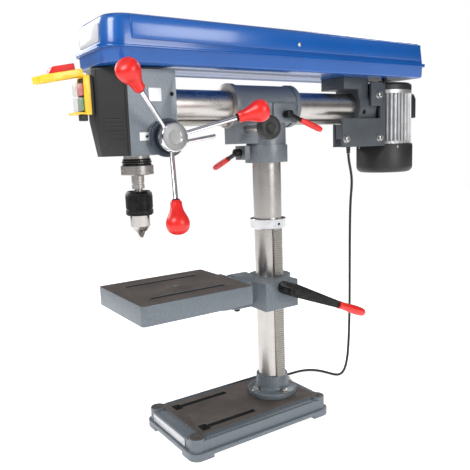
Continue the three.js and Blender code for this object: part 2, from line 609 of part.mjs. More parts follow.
// Drive under the cover
function conePulley(y, growing, shaftLow) {
  const p = pulley;
  const profile = [[0, p.low]];
  for (let step = 0; step < p.steps; step += 1) {
    const radius = p.smallest + p.growth * (growing ? step : p.steps - 1 - step);
    const z = p.low + step * p.step;
    profile.push([radius, z], [radius, z + p.step]);
  }
  profile.push([0, p.low + p.steps * p.step]);
  const body = turned(profile, [0, y, 0], [0, 0, 1], sides.round);
  return shaftLow ? join(body, rod([0, y, shaftLow], [0, y, p.low + 1], motor.shaftRadius)) : body;
}

function spindlePulley() {
  const bore = rod([0, quill.y, pulley.low - 1], [0, quill.y, 812], pulley.bore);
  return cut(conePulley(quill.y, true, 0), bore);
}

// The belt is a loop of two arcs and the two straight runs that touch them.
function driveBelt() {
  const p = pulley;
  const z = p.low + p.beltStep * p.step + 2;
  const front = p.smallest + p.growth * p.beltStep + gap;
  const rear = p.smallest + p.growth * (p.steps - 1 - p.beltStep) + gap;
  const loop = (extra) => {
    const span = motor.y - quill.y;
    const lean = Math.asin((rear - front) / span);
    const shape = new THREE.Shape();
    shape.absarc(0, quill.y, front + extra, Math.PI - lean, 2 * Math.PI + lean);
    shape.absarc(0, motor.y, rear + extra, lean, Math.PI - lean);
    shape.closePath();
    return slab(shape, z - (extra ? 0 : 1), z + p.step - 5 + (extra ? 0 : 1), 8);
  };
  return cut(loop(p.beltWidth), loop(0));
}

// Belt cover
function coverOutline(inset) {
  const c = cover;
  return roundedRectangle(-c.halfWidth + inset, c.halfWidth - inset, c.front + inset, c.rear - inset,
    c.cornerRadius - inset / 2);
}

function coverPan() {
  const c = cover;
  const outer = join(slab(coverOutline(0), c.floor, c.seam), slab(coverOutline(-c.rim),
    c.seam - c.rimHeight, c.seam));
  const inner = slab(coverOutline(c.wall), c.floor + c.wall, c.seam + 1);
  const spindleHole = rod([0, quill.y, c.floor - 1], [0, quill.y, c.floor + 9], quill.radius + 4);
  const motorHole = rod([0, motor.y, c.floor - 1], [0, motor.y, c.floor + 9], motor.shaftRadius + 9);
  return cut(outer, inner, spindleHole, motorHole);
}

function coverLid() {
  const c = cover;
  const seam = c.seam + gap;
  const shoulder = c.top - 9;
  const outer = join(slab(coverOutline(-c.rim), seam, seam + c.rimHeight), slab(coverOutline(0), seam,
    shoulder),
    slab(coverOutline(3), shoulder - 1, shoulder + 5), slab(coverOutline(9), shoulder, c.top));
  const inner = join(slab(coverOutline(c.wall), seam - 1, shoulder - 3), slab(coverOutline(12),
    shoulder - 4, c.top - c.wall));
  return cut(outer, inner);
}

// Motor and its bracket
function motorBracket() {
  const p = post;
  const z = arm.height;
  const ringBody = rod([0, p.front, z], [0, p.rear, z], p.ringRadius, p.ringRadius, sides.round);
  const lower = block(-p.halfWidth, p.halfWidth, p.front, p.rear, p.low, z);
  const posts = [-1, 1].map((side) => block(Math.min(side * p.postIn, side * p.postOut),
    Math.max(side * p.postIn, side * p.postOut), p.front, p.postRear, z, cover.floor - gap));
  const shelf = block(-p.postOut, p.postOut, p.shelfFront, p.front + 2, p.shelfLow, cover.floor - gap);
  const bore = rod([0, p.front - 1, z], [0, arm.rear + 2, z], arm.radius + gap, arm.radius + gap,
    sides.fine);
  const sideHole = rod([p.postIn, 252, 655], [99, 252, 655], 5.5);
  return cut(join(ringBody, lower, ...posts, shelf), bore, sideHole);
}

function motorPlate() {
  const p = plate;
  const inner = post.ringRadius + gap;
  const outer = inner + p.thick;
  const side = [[p.front, p.low], [p.rear, p.low], [p.rear, p.upperHigh], [p.upperFront, p.upperHigh],
    [p.upperFront, p.upperLow], [p.rear - 15, p.upperLow], [p.rear - 15, p.high], [p.front, p.high]];
  const web = block(-inner - 1, inner + 1, post.rear + gap, post.rear + gap + p.thick, p.low + 8, p.high);
  return join(sidePlate(side, inner, outer), sidePlate(side, -outer, -inner), web);
}

function motorBody() {
  const m = motor;
  const fins = toothed(m.radius, m.finDepth, m.fins, m.high - m.low, [0, m.y, m.low], [0, 0, 1]);
  const foot = block(-24, 24, post.rear + plate.thick + 2 * gap, m.y - 40, plate.low + 12, plate.high - 4);
  const boxPad = block(-m.boxHalf + 4, m.boxHalf - 4, m.y + 40, m.y + m.radius + 1, m.boxLow + 5,
    m.boxHigh - 5);
  const shaftWay = rod([0, m.y, m.high - 12], [0, m.y, m.high + 1], m.shaftRadius + gap);
  return cut(join(fins, foot, boxPad), shaftWay);
}

function motorTopCap() {
  const m = motor;
  const body = turned([[0, m.high + gap], [m.radius, m.high + gap], [m.radius, m.capTop - 3],
    [m.radius - 4, m.capTop],
    [0, m.capTop]], [0, m.y, 0], [0, 0, 1], sides.round);
  return cut(body, rod([0, m.y, m.high - 1], [0, m.y, m.capTop + 1], m.shaftRadius + gap));
}

function motorFanCover() {
  const m = motor;
  const top = m.low - gap;
  const r = m.coverRadius;
  const arc = [0, 1, 2, 3, 4].map((step) => {
    const angle = (step / 4) * (Math.PI / 2);
    return [r - 14 + Math.sin(angle) * 14, m.coverLow + 14 - Math.cos(angle) * 14];
  });
  return turned([[0, m.coverLow], ...arc, [r, top], [r - 3, top], [r - 3, m.coverLow + 16], [0,
    m.coverLow + 5]],
    [0, m.y, 0], [0, 0, 1], sides.round);
}

function capacitorBox() {
  const m = motor;
  const shape = [[m.y + m.radius + 1 + gap, m.boxLow], [m.boxRear, m.boxLow], [m.boxRear, m.boxHigh - 12],
    [m.boxRear - 8, m.boxHigh], [m.y + m.radius + 1 + gap, m.boxHigh]];
  return sidePlate(shape, -m.boxHalf, m.boxHalf);
}

function cableGland() {
  const g = gland;
  const top = post.low - gap;
  return turned([[0, g.tip], [g.tipRadius, g.tip], [g.radius * 0.75, top - 6], [g.radius, top - 6],
    [g.radius, top],
    [0, top]], [0, g.y, 0], [0, 0, 1], sides.plain);
}

// Switch on the front of the head
const boxFace = frontCover.front - gap;

function switchBox() {
  const b = box;
  const body = block(b.left, b.right, boxFace - b.depth, boxFace, b.low, b.high);
  const wells = [[button.stopLow, button.stopHigh], [button.startLow, button.startHigh]].map(([low, high]) =>
    block(buttonMiddle() - button.halfWidth - gap, buttonMiddle() + button.halfWidth + gap,
      boxFace - b.depth - 1, boxFace - b.depth + button.thick + 1, low - gap, high + gap));
  return cut(body, ...wells);
}

function buttonMiddle() {
  return (box.left + box.right) / 2;
}

function pushButton(low, high) {
  const face = boxFace - box.depth;
  const b = button;
  return block(buttonMiddle() - b.halfWidth, buttonMiddle() + b.halfWidth, face - b.stand,
    face + b.thick - b.stand, low, high);
}

// The flap hangs forward from its hinge: a tray open below, with a pointed tab and a paddle on its back.
// It is drawn level and then turned about its hinge.
function switchFlap() {
  const f = flap;
  const hinge = boxFace - box.depth - f.offset;
  const front = hinge - f.reach;
  const under = f.hingeHeight + f.lift;
  const top = under + f.thick;
  const low = f.hingeHeight - f.barrel;
  const sheet = block(box.left, box.right, front, hinge + f.barrel, under, top);
  const walls = [box.left, box.right - f.wall].map((x) => block(x, x + f.wall, front, hinge + f.barrel,
    low, under + 1));
  const lip = block(box.left, box.right, front, front + f.wall, low, under + 1);
  const middle = buttonMiddle();
  const tab = wrapped([low, top].flatMap((z) => [[middle - f.tabHalf, front + 1, z], [middle + f.tabHalf,
    front + 1, z],
    [middle, front - f.tab, z]]));
  const rear = hinge - f.paddleFrom;
  const paddle = sidePlate([[rear - f.paddleLength, top - 1], [rear, top - 1], [rear, top + f.paddleHeight],
    [rear - f.paddleLength + f.paddleSlant, top + f.paddleHeight]], middle - f.paddleHalf,
      middle + f.paddleHalf);
  return join(sheet, ...walls, lip, tab, paddle).translate(0, -hinge, -f.hingeHeight)
    .rotateX(THREE.MathUtils.degToRad(f.droop)).translate(0, hinge, f.hingeHeight);
}

// Mains cord: from the gland straight down, along the bench to a coil close behind the base's left edge.
const cordRoute = [
  [0, 241, 562], [0, 241.5, 550], [0, 246, 532], [0, 251, 512], [0, 252.5, 492], [0, 250, 470], [0, 247,
    445],
  [0, 245.5, 400], [0, 244.5, 350], [0, 244, 300], [0, 243.5, 250], [0, 243, 200], [-0.5, 242, 150],
  [-1.5, 240.5, 100], [-4, 239, 60], [-10, 237, 30], [-21, 234.5, 11], [-36, 232, 4.2], [-54, 229, 3.2],
  [-72, 224.5, 3.2], [-90, 217.5, 3.2], [-104, 206.5, 3.2], [-113, 191, 3.2], [-117, 173, 3.2], [-118,
    154, 3.2],
  [-118, 134.5, 3.2],
];

function mainsCord() {
  const curve = new THREE.CatmullRomCurve3(cordRoute.map((point) => new THREE.Vector3(...point)), false,
    "centripetal");
  const section = new THREE.Shape();
  for (let side = 0; side < cord.facets; side += 1) {
    const angle = (side / cord.facets) * Math.PI * 2;
    section[side ? "lineTo" : "moveTo"](Math.cos(angle) * cord.radius, Math.sin(angle) * cord.radius);
  }
  return new THREE.ExtrudeGeometry(section, { steps: 40, extrudePath: curve, bevelEnabled: false });
}

function cordCoil() {
  const c = coil;
  return turned([[c.inner, c.bench], [c.outer - c.chamfer, c.bench], [c.outer, c.chamfer],
    [c.outer, c.height - c.chamfer], [c.outer - c.chamfer, c.height], [c.inner, c.height], [c.inner,
      c.bench]],
  [c.x, c.y, 0], [0, 0, 1], sides.round);
}

// The plug lies on the bench behind the coil, with its pins pointing away from the base.
function mainsPlug() {
  const p = plug;
  const [alongX, alongY] = p.along;
  const at = (ahead, side) => [coil.x + alongX * ahead - alongY * side,
    coil.y + alongY * ahead + alongX * side,
    coil.bench + p.radius];
  const body = turned([[0, 0], [p.radius * 0.4, 0], [p.radius * 0.6, 8], [p.radius, 16], [p.radius,
    p.length],
    [0, p.length]], at(p.ahead, p.aside), p.along, sides.plain);
  const pins = [-p.pinSpread, p.pinSpread].map((side) =>
    rod(at(p.ahead + p.length - 1, p.aside + side), at(p.ahead + p.length + p.pinLength, p.aside + side),
      p.pinRadius, p.pinRadius, sides.plain));
  return join(body, ...pins);
}

// Finishes
const finish = (color, roughness, metalness) => new THREE.MeshStandardMaterial({ color, roughness,
  metalness });
const castGrey = finish(0x78848f, 0.55, 0.2);
const bracketGrey = finish(0x4d5358, 0.6, 0.2);
const steel = finish(0xb5b3b0, 0.28, 1);
const chrome = finish(0xd9d9dc, 0.12, 1);
const blackPlastic = finish(0x1d1e1d, 0.5, 0);
const redPlastic = finish(0xe0281e, 0.35, 0);
const yellowPlastic = finish(0xf0c42c, 0.4, 0);
const greenPlastic = finish(0x3c7a50, 0.4, 0);
const bluePaint = finish(0x2355a5, 0.25, 0.1);
const aluminium = finish(0xd4d5d6, 0.4, 1);
const darkRing = finish(0x2c3440, 0.45, 0.3);
const rubber = finish(0x171717, 0.8, 0);

const pieces = [
  ["base_casting", baseCasting(), castGrey], ["base_label_plate", baseLabelPlate(), aluminium],
  ["column_flange", columnFlange(), castGrey], ["column_tube", columnTube(), steel],
  ["rack_ring", rackRing(), chrome], ["column_rack", columnRackBar(), steel],
  ["table_bracket", tableBracket(), castGrey], ["lift_gear", liftGear(), steel],
  ["crank_shaft", crankShaft(), steel], ["table_crank", tableCrank(), blackPlastic],
  ["crank_grip", crankGrip(), redPlastic], ["work_table", workTable(), castGrey],
  ["arm_saddle", armSaddle(), castGrey],
  ["arm_lock_lever", lockLever(...armLockHub, armLockStud, armLock.reach), blackPlastic],
  ["arm_lock_grip", lockGrip(...armLockHub, armLock.reach), redPlastic],
  ["swivel_lock_lever", lockLever(...swivelLockHub, swivelLockStud, swivelLock.reach), blackPlastic],
  ["swivel_lock_grip", lockGrip(...swivelLockHub, swivelLock.reach), redPlastic],
  ["traverse_shaft", traverseShaft(), steel], ["traverse_knob", traverseKnob(), blackPlastic],
  ["arm_rack", armRackBar(), steel], ["arm_tube", armTube(), steel],
  ["head_casting", headCasting(), castGrey], ["head_front_cover", headFrontCover(), blackPlastic],
  ["head_lock_lever", headLockLever(), chrome],
  ["quill_sleeve", quillSleeve(), steel], ["quill_collar", quillCollar(), steel],
  ["spindle_shaft", spindleShaft(), steel], ["chuck_body", chuckBody(), steel],
  ["chuck_sleeve", chuckSleeve(), blackPlastic],
  ...[0, 1, 2].map((index) => [`chuck_jaw_${index + 1}`, chuckJaw(index), steel]),
  ["depth_ring", depthRing(), darkRing], ["feed_hub", feedHub(), chrome],
  ...[0, 1, 2].flatMap((index) => [
    [`feed_rod_${index + 1}`, feedRod(index), chrome], [`feed_knob_${index + 1}`, feedKnob(index),
      redPlastic]]),
  ["spindle_pulley", spindlePulley(), aluminium],
  ["motor_pulley", conePulley(motor.y, false, motor.high - 10), aluminium],
  ["drive_belt", driveBelt(), rubber], ["cover_pan", coverPan(), bluePaint], ["cover_lid", coverLid(),
    bluePaint],
  ["motor_bracket", motorBracket(), bracketGrey], ["motor_plate", motorPlate(), bracketGrey],
  ["motor_body", motorBody(), aluminium], ["motor_top_cap", motorTopCap(), blackPlastic],
  ["motor_fan_cover", motorFanCover(), blackPlastic], ["capacitor_box", capacitorBox(), blackPlastic],
  ["cable_gland", cableGland(), blackPlastic], ["switch_box", switchBox(), blackPlastic],
  ["stop_button", pushButton(button.stopLow, button.stopHigh), redPlastic],
  ["start_button", pushButton(button.startLow, button.startHigh), greenPlastic],
  ["switch_flap", switchFlap(), yellowPlastic],
  ["mains_cord", mainsCord(), rubber], ["cord_coil", cordCoil(), rubber], ["mains_plug", mainsPlug(),
    rubber],
];

// The arm and all it carries move with the column's top; the base, the table and the cord stay.
const lowerPieces = [
  "base_casting", "base_label_plate", "column_flange", "column_tube", "rack_ring", "column_rack", "table_bracket",
  "lift_gear", "crank_shaft", "table_crank", "crank_grip", "work_table",
];
const cordPieces = ["mains_cord", "cord_coil", "mains_plug"];
const drillPress = new THREE.Group();
const armGroup = new THREE.Group();
armGroup.position.z = column.top - drawnTop;
drillPress.add(armGroup);
for (const [name, geometry, material] of pieces) {
  const mesh = new THREE.Mesh(geometry, material);
  mesh.name = name;
  const fixed = lowerPieces.includes(name) || cordPieces.includes(name);
  (fixed ? drillPress : armGroup).add(mesh);
}

// The origin moves to the middle of the footprint, measured without the cord and what lies on it.
const footprint = new THREE.Box3();
drillPress.updateMatrixWorld(true);
drillPress.traverse((mesh) => {
  if (mesh.isMesh && !cordPieces.includes(mesh.name)) footprint.expandByObject(mesh, true);
});
const middle = footprint.getCenter(new THREE.Vector3());
drillPress.position.set(-middle.x, -middle.y, -footprint.min.z);

export default drillPress;
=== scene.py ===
# Bench radial drill press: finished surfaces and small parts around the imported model.
# Lengths in this file are millimetres from the column's axis at bench level, and at() turns them into metres.
import json
import math

import bpy
from mathutils import Matrix, Vector

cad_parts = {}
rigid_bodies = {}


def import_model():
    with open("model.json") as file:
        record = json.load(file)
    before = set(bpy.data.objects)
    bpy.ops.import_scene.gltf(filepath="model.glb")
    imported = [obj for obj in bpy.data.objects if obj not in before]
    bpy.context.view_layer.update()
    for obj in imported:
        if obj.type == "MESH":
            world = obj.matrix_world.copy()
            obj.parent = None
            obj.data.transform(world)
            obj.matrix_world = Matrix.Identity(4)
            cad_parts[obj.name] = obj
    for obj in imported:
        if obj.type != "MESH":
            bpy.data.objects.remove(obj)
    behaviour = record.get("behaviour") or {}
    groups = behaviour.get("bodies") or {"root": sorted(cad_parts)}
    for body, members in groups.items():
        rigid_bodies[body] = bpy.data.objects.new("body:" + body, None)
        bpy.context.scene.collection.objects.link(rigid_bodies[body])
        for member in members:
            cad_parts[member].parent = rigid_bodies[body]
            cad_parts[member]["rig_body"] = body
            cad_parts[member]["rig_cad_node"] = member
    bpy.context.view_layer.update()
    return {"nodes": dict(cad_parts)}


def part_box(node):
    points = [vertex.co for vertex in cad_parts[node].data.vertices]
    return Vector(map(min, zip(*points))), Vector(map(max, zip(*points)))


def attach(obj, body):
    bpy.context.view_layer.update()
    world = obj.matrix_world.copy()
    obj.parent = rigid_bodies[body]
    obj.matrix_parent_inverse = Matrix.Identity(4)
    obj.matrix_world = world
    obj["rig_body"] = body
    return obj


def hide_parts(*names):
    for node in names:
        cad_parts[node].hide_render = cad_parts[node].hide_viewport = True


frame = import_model()
mm = 0.001
columnLow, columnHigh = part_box("column_tube")
axisX = (columnLow[0] + columnHigh[0]) / 2
axisY = (columnLow[1] + columnHigh[1]) / 2


def at(x, y, z):
    return Vector((axisX + x * mm, axisY + y * mm, z * mm))


# Camera: a standing person's view from the front right, a little above the arm
viewpoint = {"x": 993.1, "y": -744.0, "z": 587.0, "azimuth": 56.5, "down": 8.7, "roll": -2.0, "lens": 44.24}


def addCamera():
    view = viewpoint
    azimuth, down = math.radians(view["azimuth"]), math.radians(view["down"])
    back = Vector((math.sin(azimuth) * math.cos(down), -math.cos(azimuth) * math.cos(down), math.sin(down)))
    level = Vector((math.cos(azimuth), math.sin(azimuth), 0))
    upright = back.cross(level)
    roll = math.radians(view["roll"])
    right = level * math.cos(roll) + upright * math.sin(roll)
    up = upright * math.cos(roll) - level * math.sin(roll)
    data = bpy.data.cameras.new("view")
    data.lens = view["lens"]
    data.sensor_width = 36
    camera = bpy.data.objects.new("view", data)
    bpy.context.collection.objects.link(camera)
    camera.matrix_world = Matrix.Translation(at(view["x"], view["y"], view["z"])) @ Matrix(
        (right, up, back)).transposed().to_4x4()
    bpy.context.scene.camera = camera


addCamera()
print("camera set")


# Shader sockets as values, so that a finish reads as a sum
class Wire:
    def __init__(self, sheet, socket):
        self.sheet = sheet
        self.socket = socket

    def maths(self, operation, first, second=0.0):
        return self.sheet.add("ShaderNodeMath", {"operation": operation}, {0: first, 1: second})

    def __add__(self, other):
        return self.maths("ADD", self, other)

    def __radd__(self, other):
        return self.maths("ADD", other, self)

    def __sub__(self, other):
        return self.maths("SUBTRACT", self, other)

    def __rsub__(self, other):
        return self.maths("SUBTRACT", other, self)

    def __mul__(self, other):
        return self.maths("MULTIPLY", self, other)

    def __rmul__(self, other):
        return self.maths("MULTIPLY", other, self)


class Sheet:
    def __init__(self, name):
        self.finish = bpy.data.materials.new(name)
        self.finish.use_nodes = True
        self.tree = self.finish.node_tree
        self.shader = self.tree.nodes["Principled BSDF"]

    def add(self, kind, settings=None, values=None, output=0):
        node = self.tree.nodes.new(kind)
        for name, value in (settings or {}).items():
            if name == "stops":
                while len(node.color_ramp.elements) < len(value):
                    node.color_ramp.elements.new(0.5)
                for element, (place, colour) in zip(node.color_ramp.elements, value):
                    element.position = place
                    element.color = (*colour, 1)
            else:
                setattr(node, name, value)
        for name, value in (values or {}).items():
            if isinstance(value, Wire):
                self.tree.links.new(value.socket, node.inputs[name])
            else:
                node.inputs[name].default_value = value
        return Wire(self, node.outputs[output])

    def place(self, stretch=(1, 1, 1), turn=(0, 0, 0), centre=(0, 0, 0)):
        here = self.add("ShaderNodeTexCoord", output="Object")
        return self.add("ShaderNodeMapping", {"vector_type": "POINT"},
                        {"Vector": here, "Location": tuple(-c * s for c, s in zip(centre, stretch)),
                         "Rotation": turn, "Scale": stretch})

    def noise(self, scale, detail=3, rough=0.55, where=None):
        return self.add("ShaderNodeTexNoise", None, {"Vector": where or self.place(), "Scale": scale,
                                                      "Detail": detail, "Roughness": rough})

    def cells(self, scale, kind="F1", where=None):
        return self.add("ShaderNodeTexVoronoi", {"feature": kind},
                        {"Vector": where or self.place(), "Scale": scale})

    def ramp(self, factor, stops):
        return self.add("ShaderNodeValToRGB", {"stops": stops}, {"Fac": factor})

    def bump(self, height, strength, distance, under=None):
        values = {"Height": height, "Strength": strength, "Distance": distance}
        if under:
            values["Normal"] = under
        return self.add("ShaderNodeBump", None, values)

    def set(self, **values):
        for name, value in values.items():
            socket = self.shader.inputs[name.replace("_", " ")]
            if isinstance(value, Wire):
                self.tree.links.new(value.socket, socket)
            else:
                socket.default_value = (*value, 1) if isinstance(value, tuple) else value
        return self.finish


def shade(red, green, blue):
    return tuple((v / 12.92 if v <= 0.04045 else ((v + 0.055) / 1.055) ** 2.4)
                 for v in (red / 255, green / 255, blue / 255))


# Ramp stops: one colour at several places, each made lighter or darker by a share
def tones(tint, *pairs):
    return [(place, tuple(min(1, c * share) for c in shade(*tint))) for place, share in pairs]


# Cast parts: a hammered enamel of shallow round dimples, blue-grey and slightly mottled
def hammeredEnamel(name, tint, dimple=330, depth=0.00035):
    sheet = Sheet(name)
    ripple = sheet.cells(dimple, "SMOOTH_F1")
    drift = sheet.noise(40, 4)
    speck = sheet.noise(900, 2)
    colour = sheet.ramp(ripple * 0.75 + speck * 0.15 + drift * 0.25,
                        tones(tint, (0.18, 0.84), (0.5, 1), (0.85, 1.2)))
    bump = sheet.bump(ripple + speck * 0.25, 0.55, depth)
    return sheet.set(Base_Color=colour, Roughness=0.3 + drift * 0.22 + ripple * 0.1, Metallic=0.25,
                     Coat_Weight=0.25,
                     Coat_Roughness=0.25, Normal=bump)


# Machined tops: fine parallel tool lines over brownish grey iron, oiled and a little stained
def machinedIron(name, tint, direction=0.0, gloss=0.38):
    sheet = Sheet(name)
    lines = sheet.noise(1, 2, where=sheet.place((60, 1900, 60), (0, 0, direction)))
    patch = sheet.noise(22, 5)
    colour = sheet.ramp(lines * 0.45 + patch * 0.55, tones(tint, (0.3, 0.7), (0.55, 1), (0.75, 1.35)))
    return sheet.set(Base_Color=colour, Roughness=gloss + patch * 0.2 - lines * 0.08, Metallic=0.7,
                     Normal=sheet.bump(lines, 0.25, 0.0001))


# Ground bars: circular grinding lines across an axis, with slight oil stains
def groundSteel(name, tint=(196, 192, 188), stretch=(40, 40, 2600), rough=0.2):
    sheet = Sheet(name)
    lines = sheet.noise(1, 2, where=sheet.place(stretch))
    stain = sheet.noise(30, 4)
    colour = sheet.ramp(lines * 0.35 + stain * 0.65, tones(tint, (0.3, 0.8), (0.7, 1)))
    return sheet.set(Base_Color=colour, Roughness=rough + stain * 0.12 + lines * 0.06, Metallic=1.0,
                     Normal=sheet.bump(lines, 0.12, 0.00005))


def brightChrome(name):
    sheet = Sheet(name)
    haze = sheet.noise(60, 3)
    scuff = sheet.noise(1, 2, where=sheet.place((900, 60, 900)))
    return sheet.set(Base_Color=sheet.ramp(haze, [(0.3, shade(205, 205, 208)), (0.7, shade(232, 232, 234))]),
                     Roughness=0.06 + haze * 0.08 + scuff * 0.03, Metallic=1.0,
                     Normal=sheet.bump(scuff, 0.03, 0.00005))


def mouldedPlastic(name, tint, rough=0.42, grain=2400, depth=0.00006, coat=0.0):
    sheet = Sheet(name)
    pits = sheet.noise(grain, 2)
    drift = sheet.noise(35, 3)
    colour = sheet.ramp(drift, tones(tint, (0.3, 0.88), (0.7, 1.1)))
    return sheet.set(Base_Color=colour, Roughness=rough + pits * 0.1 + drift * 0.05, Coat_Weight=coat,
                     Coat_Roughness=0.12, Normal=sheet.bump(pits, 0.3, depth))


# Sheet metal in gloss enamel: faint orange peel
def glossEnamel(name, tint):
    sheet = Sheet(name)
    peel = sheet.noise(260, 2)
    drift = sheet.noise(8, 3)
    colour = sheet.ramp(drift, tones(tint, (0.3, 0.92), (0.7, 1.06)))
    return sheet.set(Base_Color=colour, Roughness=0.2 + peel * 0.08, Coat_Weight=0.35, Coat_Roughness=0.1,
                     Normal=sheet.bump(peel, 0.1, 0.0002))


def satinPaint(name, tint):
    sheet = Sheet(name)
    grain = sheet.noise(1100, 2)
    drift = sheet.noise(25, 4)
    colour = sheet.ramp(drift * 0.6 + grain * 0.4, tones(tint, (0.3, 0.8), (0.7, 1.15)))
    return sheet.set(Base_Color=colour, Roughness=0.4 + drift * 0.15, Metallic=0.15, Coat_Weight=0.1,
                     Normal=sheet.bump(grain, 0.35, 0.0001))


def castAluminium(name):
    sheet = Sheet(name)
    sand = sheet.noise(1300, 3)
    drift = sheet.noise(45, 4)
    colour = sheet.ramp(sand * 0.4 + drift * 0.6, [(0.25, shade(150, 150, 150)), (0.7, shade(205, 206, 207))])
    return sheet.set(Base_Color=colour, Roughness=0.34 + sand * 0.16, Metallic=0.9,
                     Normal=sheet.bump(sand, 0.4, 0.00015))


def blackOxide(name):
    sheet = Sheet(name)
    drift = sheet.noise(90, 4)
    return sheet.set(Base_Color=sheet.ramp(drift, [(0.3, shade(22, 22, 23)), (0.75, shade(44, 44, 45))]),
                     Roughness=0.3 + drift * 0.2, Metallic=0.75,
                     Normal=sheet.bump(sheet.noise(1500, 2), 0.2, 0.00006))


def softRubber(name):
    sheet = Sheet(name)
    dust = sheet.noise(70, 4)
    return sheet.set(Base_Color=sheet.ramp(dust, [(0.35, shade(20, 20, 21)), (0.8, shade(36, 36, 36))]),
                     Roughness=0.5 + dust * 0.2, Normal=sheet.bump(sheet.noise(1800, 2), 0.3, 0.00006))


def zincPlate(name):
    sheet = Sheet(name)
    cloud = sheet.noise(140, 4)
    return sheet.set(Base_Color=sheet.ramp(cloud, [(0.3, shade(168, 168, 166)), (0.7, shade(214, 214, 212))]),
                     Roughness=0.22 + cloud * 0.15, Metallic=1.0, Normal=sheet.bump(cloud, 0.08, 0.0001))


def blankPaper(name, tint, gloss=0.3):
    sheet = Sheet(name)
    grain = sheet.noise(500, 3)
    return sheet.set(Base_Color=sheet.ramp(grain, tones(tint, (0.3, 0.95), (0.7, 1))),
                     Roughness=gloss + grain * 0.1, Coat_Weight=0.3, Normal=sheet.bump(grain, 0.05, 0.00005))


def clearCover(name):
    sheet = Sheet(name)
    haze = sheet.noise(120, 3)
    return sheet.set(Base_Color=sheet.ramp(haze, [(0.3, shade(225, 228, 226)), (0.7, shade(240, 242, 241))]),
                     Roughness=0.12 + haze * 0.08, Alpha=0.1 + haze * 0.06, Coat_Weight=0.6,
                     Normal=sheet.bump(haze, 0.05, 0.0002))


finishes = {
    "castEnamel": hammeredEnamel("cast enamel", (100, 108, 115)),
    "saddleEnamel": hammeredEnamel("saddle enamel", (104, 110, 116)),
    # Satin paint for the motor bracket and plate, also laid in the motor's fin grooves as painted shade
    "bracketPaintAndFinShade": satinPaint("bracket paint and painted fin shade", (70, 75, 80)),
    "machinedTop": machinedIron("machined top", (108, 100, 95)),
    "machinedFace": machinedIron("machined face", (178, 172, 165), gloss=0.3),
    "groundSteel": groundSteel("ground steel"),
    "groundArm": groundSteel("ground arm", stretch=(40, 2600, 40)),
    "rackSteel": groundSteel("rack steel", (176, 172, 166), (300, 300, 300), 0.3),
    "chrome": brightChrome("bright chrome"),
    "blackPlastic": mouldedPlastic("black plastic", (26, 27, 26), 0.4, 1500, 0.00012),
    "blackOxide": blackOxide("black oxide"),
    "redPlastic": mouldedPlastic("red plastic", (212, 22, 14), 0.32, 900, 0.00002, 0.15),
    "yellowPlastic": mouldedPlastic("yellow plastic", (243, 198, 44), 0.3, 900, 0.00003, 0.4),
    "greenPlastic": mouldedPlastic("green plastic", (34, 120, 70), 0.3, 900, 0.00003, 0.3),
    "blueEnamel": glossEnamel("blue enamel", (14, 82, 158)),
    "ringPaint": satinPaint("ring paint", (38, 48, 62)),
    "aluminium": castAluminium("cast aluminium"),
    "rubber": softRubber("rubber"),
    "zinc": zincPlate("zinc plate"),
    "white": blankPaper("white mark", (238, 239, 240)),
    "silverLabel": blankPaper("silver label", (196, 198, 201), 0.25),
    "clear": clearCover("clear cover"),
    "brushedFace": groundSteel("brushed face", (150, 150, 150), (40, 2600, 40), 0.42),
    # Near-black finish laid on the slot walls of the base and table as painted shade inside the slots
    "paintedSlotShade": mouldedPlastic("painted slot shade", (12, 12, 13), 0.7, 400, 0.0001),
}
print("finishes made", len(finishes))


# Modelling helpers
def clearChoice():
    if bpy.context.object and bpy.context.object.mode != "OBJECT":
        bpy.ops.object.mode_set(mode="OBJECT")
    bpy.ops.object.select_all(action="DESELECT")


def settle(piece, name, finish, body, smooth=35):
    clearChoice()
    piece.select_set(True)
    bpy.context.view_layer.objects.active = piece
    bpy.ops.object.transform_apply(location=True, rotation=True, scale=True)
    if smooth:
        bpy.ops.object.shade_smooth_by_angle(angle=math.radians(smooth), keep_sharp_edges=False)
    piece.name = name
    piece.data.name = name
    if finish:
        piece.data.materials.clear()
        piece.data.materials.append(finishes[finish])
    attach(piece, body)
    piece.select_set(False)
    return piece


def bevelled(piece, width, steps=2, angle=40):
    modifier = piece.modifiers.new("edges", "BEVEL")
    modifier.width = width * mm
    modifier.segments = steps
    modifier.limit_method = "ANGLE"
    modifier.angle_limit = math.radians(angle)
    applyModifier(piece, modifier)


def applyModifier(piece, modifier):
    clearChoice()
    piece.select_set(True)
    bpy.context.view_layer.objects.active = piece
    bpy.ops.object.modifier_apply(modifier=modifier.name)


def booled(piece, operation, *tools):
    for tool in tools:
        modifier = piece.modifiers.new("solid", "BOOLEAN")
        modifier.operation = operation
        modifier.solver = "EXACT"
        modifier.object = tool
        applyModifier(piece, modifier)
        bpy.data.objects.remove(tool)


def carved(piece, *tools):
    booled(piece, "DIFFERENCE", *tools)


def joined(pieces):
    clearChoice()
    for piece in pieces:
        piece.select_set(True)
    bpy.context.view_layer.objects.active = pieces[0]
    bpy.ops.object.join()
    return bpy.context.object


def facing(start, direction):
    turn = Vector((0, 0, 1)).rotation_difference(Vector(direction)).to_matrix().to_4x4()
    return Matrix.Translation(at(*start)) @ turn


# A run of edges through points given in millimetres: one corner of a plane is pulled along
def edgeRun(points):
    clearChoice()
    bpy.ops.mesh.primitive_plane_add(size=mm)
    bpy.ops.object.mode_set(mode="EDIT")
    bpy.ops.mesh.select_all(action="SELECT")
    bpy.ops.mesh.merge(type="CENTER")
    bpy.ops.mesh.select_all(action="SELECT")
    bpy.ops.transform.translate(value=Vector(points[0]) * mm)
    for last, here in zip(points, points[1:]):
        bpy.ops.mesh.extrude_region_move(
            TRANSFORM_OT_translate={"value": (Vector(here) - Vector(last)) * mm})
    bpy.ops.mesh.select_all(action="SELECT")


